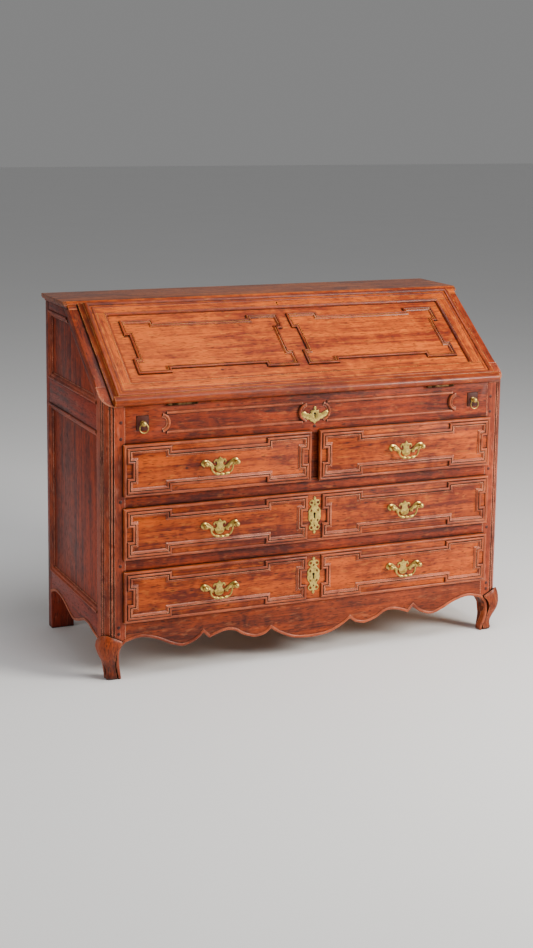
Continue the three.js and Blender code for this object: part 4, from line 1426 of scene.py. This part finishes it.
@dataclass
class Drawers:
    """The four long drawers: lipped fronts, beads, stepped mouldings, boxes and locks. In mm."""

    lip_bead: float = 9
    lip: float = 10
    inset: float = 8.5
    step: float = 16
    corner: tuple = (134, 46)
    middle: float = 24
    bead: tuple = (
        (0.3, -6), (0.3, 0.6), *arc((3.9, 0.6), 3.6, 180, 60, 5), (7.0, 2.8), *arc((6.8, 0.6), 2.0, 70, 0, 4),
        (8.8, -0.6),
    )
    applied: tuple = (
        (0, -0.5), (0, 2.4), *arc((4, 2.4), 4, 180, 10, 7), (8.6, 2.2), (9.4, 2.2), (10, 5.4), (11.8, 5.4),
        (14, 3.8), (15.6, 2.0), (17, 0.9), (17, -0.5),
    )
    plans: tuple = (
        DrawerPlan("drawer_top_left", False), DrawerPlan("drawer_top_right", False),
        DrawerPlan("drawer_middle", True), DrawerPlan("drawer_bottom", True),
    )

    def span(self, plan: DrawerPlan) -> tuple:
        """A drawer front's left, right, lower and upper limits, in millimetres."""
        low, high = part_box(f"{plan.name}_front")
        return low.x / MM, high.x / MM, low.z / MM, high.z / MM

    def front(self, plan: DrawerPlan) -> None:
        """Makes a drawer's lipped front with its lip bead and applied mouldings.

        Args:
            plan: The drawer.
        """
        x0, x1, z0, z1 = self.span(plan)
        board = Piece(f"{plan.name}_front_board", Finish.DRAWER, plan.name, X)
        board.board(from_front(x0, -self.lip, z0), from_front(x1, -0.4, z1), 1.2 * MM)
        inset = self.inset
        spans = [(x0 + inset, x1 - inset)]
        if plan.locked:
            bolt_low, bolt_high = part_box(f"{plan.name}_bolt")
            slot = bolt_high.x / MM + 1
            spans = [(x0 + inset, -slot), (slot, x1 - inset)]
            start = from_front(-slot - 0.5, -0.7, z0 + inset + 0.4)
            end = from_front(slot + 0.5, 11.6, bolt_low.z / MM - 1)
            board.board(start, end, 0.6 * MM)
        for left, right in spans:
            board.board(from_front(left, -1, z0 + inset), from_front(right, 12, z1 - inset), 0.6 * MM)
        board.done(f"{plan.name}_front")

        edge = Piece(f"{plan.name}_lip_bead", Finish.MOULDING, plan.name, X)
        path = [from_front(x, -self.lip, z) for x, z in rectangle((x0, z0), (x1, z1))]
        edge.sweep(list(self.bead), path, FORWARD, closed=True).done()

        trim = self.lip_bead
        for i, (left, right) in enumerate(plan.mouldings(x0, x1, trim, self.middle)):
            line = stepped((left, z0 + trim), (right, z1 - trim), self.corner, self.step)
            moulding = Piece(f"{plan.name}_moulding_{i + 1}", Finish.MOULDING, plan.name, X)
            path = [from_front(x, -self.lip, z) for x, z in line]
            moulding.sweep(list(self.applied), path, FORWARD, closed=True).done()

    def lock(self, plan: DrawerPlan) -> None:
        """Makes a locked drawer's escutcheon, keyhole and bolt.

        Args:
            plan: The drawer.
        """
        x0, x1, z0, z1 = self.span(plan)
        middle = (z0 + z1) / 2 + 5
        Escutcheons().pierced(f"{plan.name}_escutcheon", plan.name, middle, -self.lip)
        bolt = f"{plan.name}_bolt"
        Piece(f"{bolt}_filed", Finish.IRON, bolt, X).node(bolt, 0.4 * MM).done(bolt)

    def build(self) -> None:
        """Makes every drawer."""
        for plan in self.plans:
            self.front(plan)
            box = f"{plan.name}_box"
            Piece(f"{box}_eased", Finish.INSIDE, plan.name, Y).node(box, 0.8 * MM, 1).done(box)
            if plan.locked:
                self.lock(plan)


# ---- brass -----------------------------------------------------------------------------------
@dataclass
class Escutcheons:
    """The keyhole plates. In millimetres about the middle of each plate."""

    thick: float = 1.8
    lift: float = 0.3
    loop: float = 4.3
    slit: tuple = ((7.5, 15), (11.5, 19), (14.5, 13), (11, 9))
    lower_slit: tuple = ((7, -17), (10, -12), (14, -14), (11, -20))
    nail: tuple = ((1.7, 0), (1.6, 0.5), (0.9, 0.9))
    tall: tuple = (
        (0, 58.5), (5, 52), (2.4, 47), (8, 46.5), (13.5, 45), (17.5, 39), (16, 32), (10, 28.5), (12, 24),
        (17.5, 19), (20.5, 11), (19.5, 3), (20.5, -6), (19, -14), (13, -21), (11, -27), (16.5, -32),
        (17.5, -39), (13.5, -45), (8, -46.5), (2.4, -47), (5, -52), (0, -58.5),
    )
    winged: tuple = (
        (0, 26), (5.5, 20), (3, 15.5), (7, 13), (12.5, 14.5), (14.5, 10), (11, 6.5), (16, 3.5), (24, 5),
        (31, 10), (39, 11.5), (45, 8), (47.5, 1), (44, -5), (38, -3.5), (35, -9), (29, -7.5), (25, -13),
        (18, -12), (13, -18.5), (6, -20), (0, -27),
    )

    @staticmethod
    def both(hole: tuple) -> list[list[tuple]]:
        """A hole of the right half and its mirror image."""
        return [list(hole), [(-x, z) for x, z in hole]]

    def plate(self, name: str, body: str, half: tuple, middle: float, face: float, holes: list) -> None:
        """Cuts a plate and puts a black sheet behind its keyhole, painted shade for the hole's dark inside.

        Args:
            name: The plate's name.
            body: The body that carries it.
            half: Its right half, from the top down.
            middle: Height of its middle.
            face: Depth of the surface that it lies on.
            holes: Its holes about its middle.
        """
        def put(points: list[tuple], lift: float) -> list[Vector]:
            """Points of the plate's plane."""
            return [from_front(x, face - lift, middle + z) for x, z in points]

        plate = Piece(name, Finish.BRASS, body, X)
        plate.plate(put(mirrored(list(half)), self.lift), FORWARD * (self.thick * MM),
                    [put(h, self.lift) for h in holes], soft=0.7 * MM)
        for z in (max(z for _, z in half) * 0.62, min(z for _, z in half) * 0.62):
            plate.turned(list(self.nail), from_front(0, face - self.thick - 0.2, middle + z), FORWARD, 10)
        plate.done()
        # Painted shade: a black keyhole-shaped sheet under the plate fills the hole with dark.
        keyhole_shade = Piece(f"{name}_keyhole", Finish.BLACK, body, X)
        keyhole_shade.plate(put(keyhole(0, 4, 1.15), 0.05), FORWARD * (0.3 * MM)).done()

    def pierced(self, name: str, body: str, middle: float, face: float) -> None:
        """Makes a tall pierced escutcheon on a drawer.

        Args:
            name: Its name.
            body: The drawer.
            middle: Height of its middle.
            face: Depth of the drawer's face.
        """
        loops = [arc((x, z), self.loop, 0, 324, 9) for x in (-10.2, 10.2) for z in (38, -38)]
        leaves = [[(0, z + 6), (2.6, z), (0, z - 6), (-2.6, z)] for z in (33, -33)]
        holes = [keyhole(0, 4), *loops, *self.both(self.slit), *leaves, *self.both(self.lower_slit)]
        self.plate(name, body, self.tall, middle, face, holes)

    def build(self) -> None:
        """Makes the winged escutcheon on the frieze."""
        self.plate("frieze_escutcheon", "carcass", self.winged, 737, 0, [keyhole(0, 4, 0.9)])


@dataclass
class Handles:
    """The six bail handles: batwing plates, ball-headed posts and knopped bails. In millimetres."""

    reach: float = 303
    up: float = 6
    span: float = 48
    face: float = 10
    thick: float = 2.0
    head: float = 18
    plate_half: tuple = (
        (0, 17), (3.5, 12), (8, 8.2), (11, 9.4), (15, 9), (18.6, 6), (20, 1.5), (18, -2), (15.4, -1.6),
        (16.4, 1.6), (14, 4), (11, 2.4), (9.2, -1.6), (9.6, -6.5), (12.6, -10.6), (17, -10.4), (22, -6.5),
        (28, -0.5), (34, 4.5), (40, 7.8), (47, 9.4), (53, 8), (57.4, 4.2), (59, -1), (57, -6.5), (52, -9.6),
        (49, -13), (46.4, -9), (42, -7.6), (39, -11.5), (34.6, -10.2), (31.6, -13), (29.2, -12),
        (28, -21.4), (23, -18), (20, -20.6), (17, -11.5), (14.2, -17.5), (12.4, -23.4), (7, -27.6),
        (0, -29),
    )
    post: tuple = (
        (8.5, 1.6), (8.5, 2.4), (7, 3.2), (4.4, 3.8), (4, 9), (4.6, 10.2), *(
            (8 * math.cos(math.radians(t)), 18 + 8 * math.sin(math.radians(t))) for t in range(-56, 90, 12)),
        (0.6, 26),
    )
    bail: tuple = (
        (51, 0, 2.6), (46, 0, 2.4), (41, -0.6, 2.2), (36.5, -3, 2.4), (33.8, -7, 2.5), (32.8, -13, 2.6),
        (30.8, -19, 2.7), (26.5, -25, 2.7), (22, -28.2, 2.4), (20.5, -29, 3.6), (17, -30, 4.2),
        (11.5, -30.8, 4.3), (8.8, -31, 3.2), (7.8, -31.1, 2.2), (5.6, -31.3, 2.0), (4.8, -31.4, 3.4),
        (2.2, -31.5, 4.2), (0, -31.5, 4.5),
    )

    def build(self) -> None:
        """Makes the three rows of handles."""
        for row in ("top", "middle", "bottom"):
            for side in Side:
                wide = f"drawer_{row}"
                drawer = wide if row != "top" else f"{wide}_{side.label}"
                low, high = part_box(f"{drawer}_front")
                z = (low.z + high.z) / 2 / MM + self.up
                self.handle(f"{row}_{side.label}", drawer, side.value * self.reach, z)

    def handle(self, place: str, drawer: str, x: float, z: float) -> None:
        """Makes one handle.

        Args:
            place: Its row and side.
            drawer: The drawer that it opens.
            x: Its middle.
            z: Height of its posts.
        """
        face = -self.face
        plate = Piece(f"batwing_plate_{place}", Finish.BRASS, drawer, X)
        outline = [from_front(x + a, face - 0.3, z + h) for a, h in mirrored(list(self.plate_half))]
        plate.plate(outline, FORWARD * (self.thick * MM), soft=0.8 * MM)
        for side in Side:
            centre = from_front(x + side.value * self.span, face, z)
            plate.turned(list(self.post), centre, FORWARD, 20)
        plate.done(f"handle_plate_{place}")

        half = list(self.bail)
        line = half + [(-a, h, r) for a, h, r in reversed(half[:-1])]
        path = smooth(line, 3)
        swing = Piece(f"swan_neck_bail_{place}", Finish.BRASS, f"bail_{place}", X)
        points = [from_front(x + a, face - self.head, z + h) for a, h, _ in path]
        swing.wire(points, [r * MM for _, _, r in path], FORWARD, sides=10)
        swing.done(f"handle_bail_{place}")


# ---- lopers ----------------------------------------------------------------------------------
@dataclass
class Lopers:
    """The two pull-out lopers that carry the open fall, with their knobs and rings. In mm."""

    proud: float = 2
    knob_up: float = 749
    knob: tuple = ((7, 0.0), (7, 1.0), (4, 1.8), (3.6, 4.5), *arc((0, 12), 8.2, -60, 90, 10))
    ring: float = 13
    ring_out: float = 12
    wire: float = 1.5

    def build(self) -> None:
        """Makes both lopers and their rings."""
        for side in Side:
            name = f"loper_{side.label}"
            low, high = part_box(name)
            x = (low.x + high.x) / 2 / MM
            bar = Piece(f"{name}_bar", Finish.PEG, name, Y)
            front = SETTING.front - self.proud * MM
            bar.board(Vector((low.x, front, low.z)), high, 1.8 * MM, 3).done(name)
            knob = Piece(f"{name}_knob", Finish.BRASS, name, X)
            knob.turned(list(self.knob), from_front(x, -self.proud, self.knob_up), FORWARD, 20).done()
            centre = (x, self.knob_up - self.ring)
            circle = arc(centre, self.ring, 90, 440, 35)
            hoop = Piece(f"loper_ring_{side.label}_drawn", Finish.BRASS, f"loper_ring_{side.label}", X)
            points = [from_front(a, -self.proud - self.ring_out, h) for a, h in circle]
            hoop.wire(points, [self.wire * MM] * len(points), FORWARD, sides=10, closed=True)
            hoop.done(f"loper_ring_{side.label}")


# ---- gallery ---------------------------------------------------------------------------------
@dataclass
class Gallery:
    """The pigeonholes behind the fall and their two small drawers. In millimetres."""

    front: float = 10
    side: float = 7
    bottom: float = 5
    knob: tuple = ((3, 0), (3, 2.5), (6.2, 5), (7, 8), (5.6, 11), (2.4, 12.4))

    def build(self) -> None:
        """Makes the gallery and its drawers."""
        Piece("gallery_eased", Finish.INSIDE, "carcass", X).node("gallery", 0.8 * MM, 1).done("gallery")
        for side in Side:
            name = f"gallery_drawer_{side.label}"
            low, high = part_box(name)
            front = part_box("gallery")[0].y
            piece = Piece(f"{name}_front", Finish.INSIDE, name, X)
            start = Vector((low.x, front, low.z))
            thick, side_thick = self.front * MM, self.side * MM
            piece.board(start, Vector((high.x, front + thick, high.z)), 1.2 * MM)
            inset = Vector((0.3, 0, 0.3)) * MM
            for x in (low.x + 0.2 * MM, high.x - side_thick - 0.2 * MM):
                start = Vector((x, front + thick - 0.5 * MM, low.z + 0.2 * MM))
                end = Vector((x + side_thick, high.y - 0.2 * MM, high.z - 1 * MM))
                piece.board(start, end, 0.6 * MM, 1)
            start = Vector((low.x, high.y - side_thick, low.z)) + inset
            piece.board(start, high - inset, 0.5 * MM, 1)
            start = Vector((low.x, front + thick - 1 * MM, low.z)) + inset * 1.5
            end = Vector((high.x, high.y - 0.4 * MM, low.z + self.bottom * MM)) - inset * 1.5
            piece.board(start, end, 0.4 * MM, 1)
            piece.done(name)
            knob = Piece(f"{name}_knob", Finish.BRASS, name, X)
            middle = Vector(((low.x + high.x) / 2, front, (low.z + high.z) / 2))
            knob.turned(list(self.knob), middle, FORWARD, 18).done()


# ---- floor, light and camera -----------------------------------------------------------------
@dataclass
class Lamp:
    """A soft square lamp: where it hangs, its width in metres, its power and its colour."""

    name: str
    place: tuple
    width: float
    power: float
    colour: tuple = (1.0, 1.0, 1.0)


@dataclass
class Studio:
    """The pale floor, the soft lamps and the camera. In metres and degrees."""

    floor: float = 60.0
    floor_tint: tuple = (0.86, 0.86, 0.86)
    sky: float = 0.24
    aim: Vector = field(default_factory=lambda: Vector((0, 0, 0.55)))
    lamps: tuple = (
        Lamp("window_lamp", (2.4, -2.5, 1.9), 1.3, 185, (1.0, 0.96, 0.88)),
        Lamp("top_lamp", (0.5, -1.4, 4.2), 2.4, 120),
        Lamp("left_lamp", (-4.6, -0.6, 2.0), 2.4, 44, (1.0, 0.97, 0.94)),
    )
    camera_place: tuple = (-2.0730, -4.6019, 1.6755)
    yaw: float = 23.858
    pitch: float = 9.881
    roll: float = 0.707
    focal: float = 1665.0 / 948 * 36
    shift_y: float = -0.0992

    def lay_floor(self) -> None:
        """Lays the floor under the desk's feet."""
        bm = bmesh.new()
        bmesh.ops.create_grid(bm, x_segments=2, y_segments=2, size=self.floor / 2)
        mesh = bpy.data.meshes.new("floor")
        bm.to_mesh(mesh)
        bm.free()
        mesh.materials.append(Plaster("pale_floor", self.floor_tint).dress())
        floor = bpy.data.objects.new("floor", mesh)
        bpy.context.scene.collection.objects.link(floor)

    def hang_lamps(self) -> None:
        """Hangs the lamps and lights the room round them."""
        for lamp in self.lamps:
            light = bpy.data.lights.new(lamp.name, "AREA")
            light.shape = "SQUARE"
            light.size = lamp.width
            light.energy = lamp.power
            light.color = lamp.colour
            made = bpy.data.objects.new(lamp.name, light)
            made.location = lamp.place
            towards = self.aim - Vector(lamp.place)
            made.rotation_euler = towards.to_track_quat("-Z", "Y").to_euler()
            bpy.context.scene.collection.objects.link(made)
        world = bpy.data.worlds.new("room")
        world.use_nodes = True
        background = world.node_tree.nodes["Background"]
        background.inputs["Color"].default_value = (1.0, 1.0, 1.0, 1.0)
        background.inputs["Strength"].default_value = self.sky
        bpy.context.scene.world = world

    def set_camera(self) -> None:
        """Sets up the camera."""
        data = bpy.data.cameras.new("camera")
        data.sensor_width = 36.0
        data.lens = self.focal
        data.shift_y = self.shift_y
        data.clip_end = 200.0
        camera = bpy.data.objects.new("camera", data)
        yaw, pitch = math.radians(self.yaw), math.radians(self.pitch)
        ahead = Vector((math.sin(yaw) * math.cos(pitch), math.cos(yaw) * math.cos(pitch), -math.sin(pitch)))
        level = Vector((math.cos(yaw), -math.sin(yaw), 0))
        upright = level.cross(ahead)
        roll = math.radians(self.roll)
        right = level * math.cos(roll) + upright * math.sin(roll)
        up = upright * math.cos(roll) - level * math.sin(roll)
        turn = Matrix([[right[r], up[r], -ahead[r]] for r in range(3)]).to_4x4()
        camera.matrix_world = Matrix.Translation(self.camera_place) @ turn
        bpy.context.scene.collection.objects.link(camera)
        bpy.context.scene.camera = camera

    def build(self) -> None:
        """Makes the whole studio."""
        self.lay_floor()
        self.hang_lamps()
        self.set_camera()


def main() -> None:
    """Builds the desk round its frame."""
    logging.basicConfig(level=logging.INFO, format="%(name)s: %(message)s")
    Studio().build()
    for part in (
        Posts(), SideFrames(), TopAndBack(), Front(), Fall(), Drawers(), Escutcheons(), Handles(),
        Lopers(), Gallery(),
    ):
        part.build()
        LOG.info("%s finished", type(part).__name__)


if __name__ == "__main__":
    main()
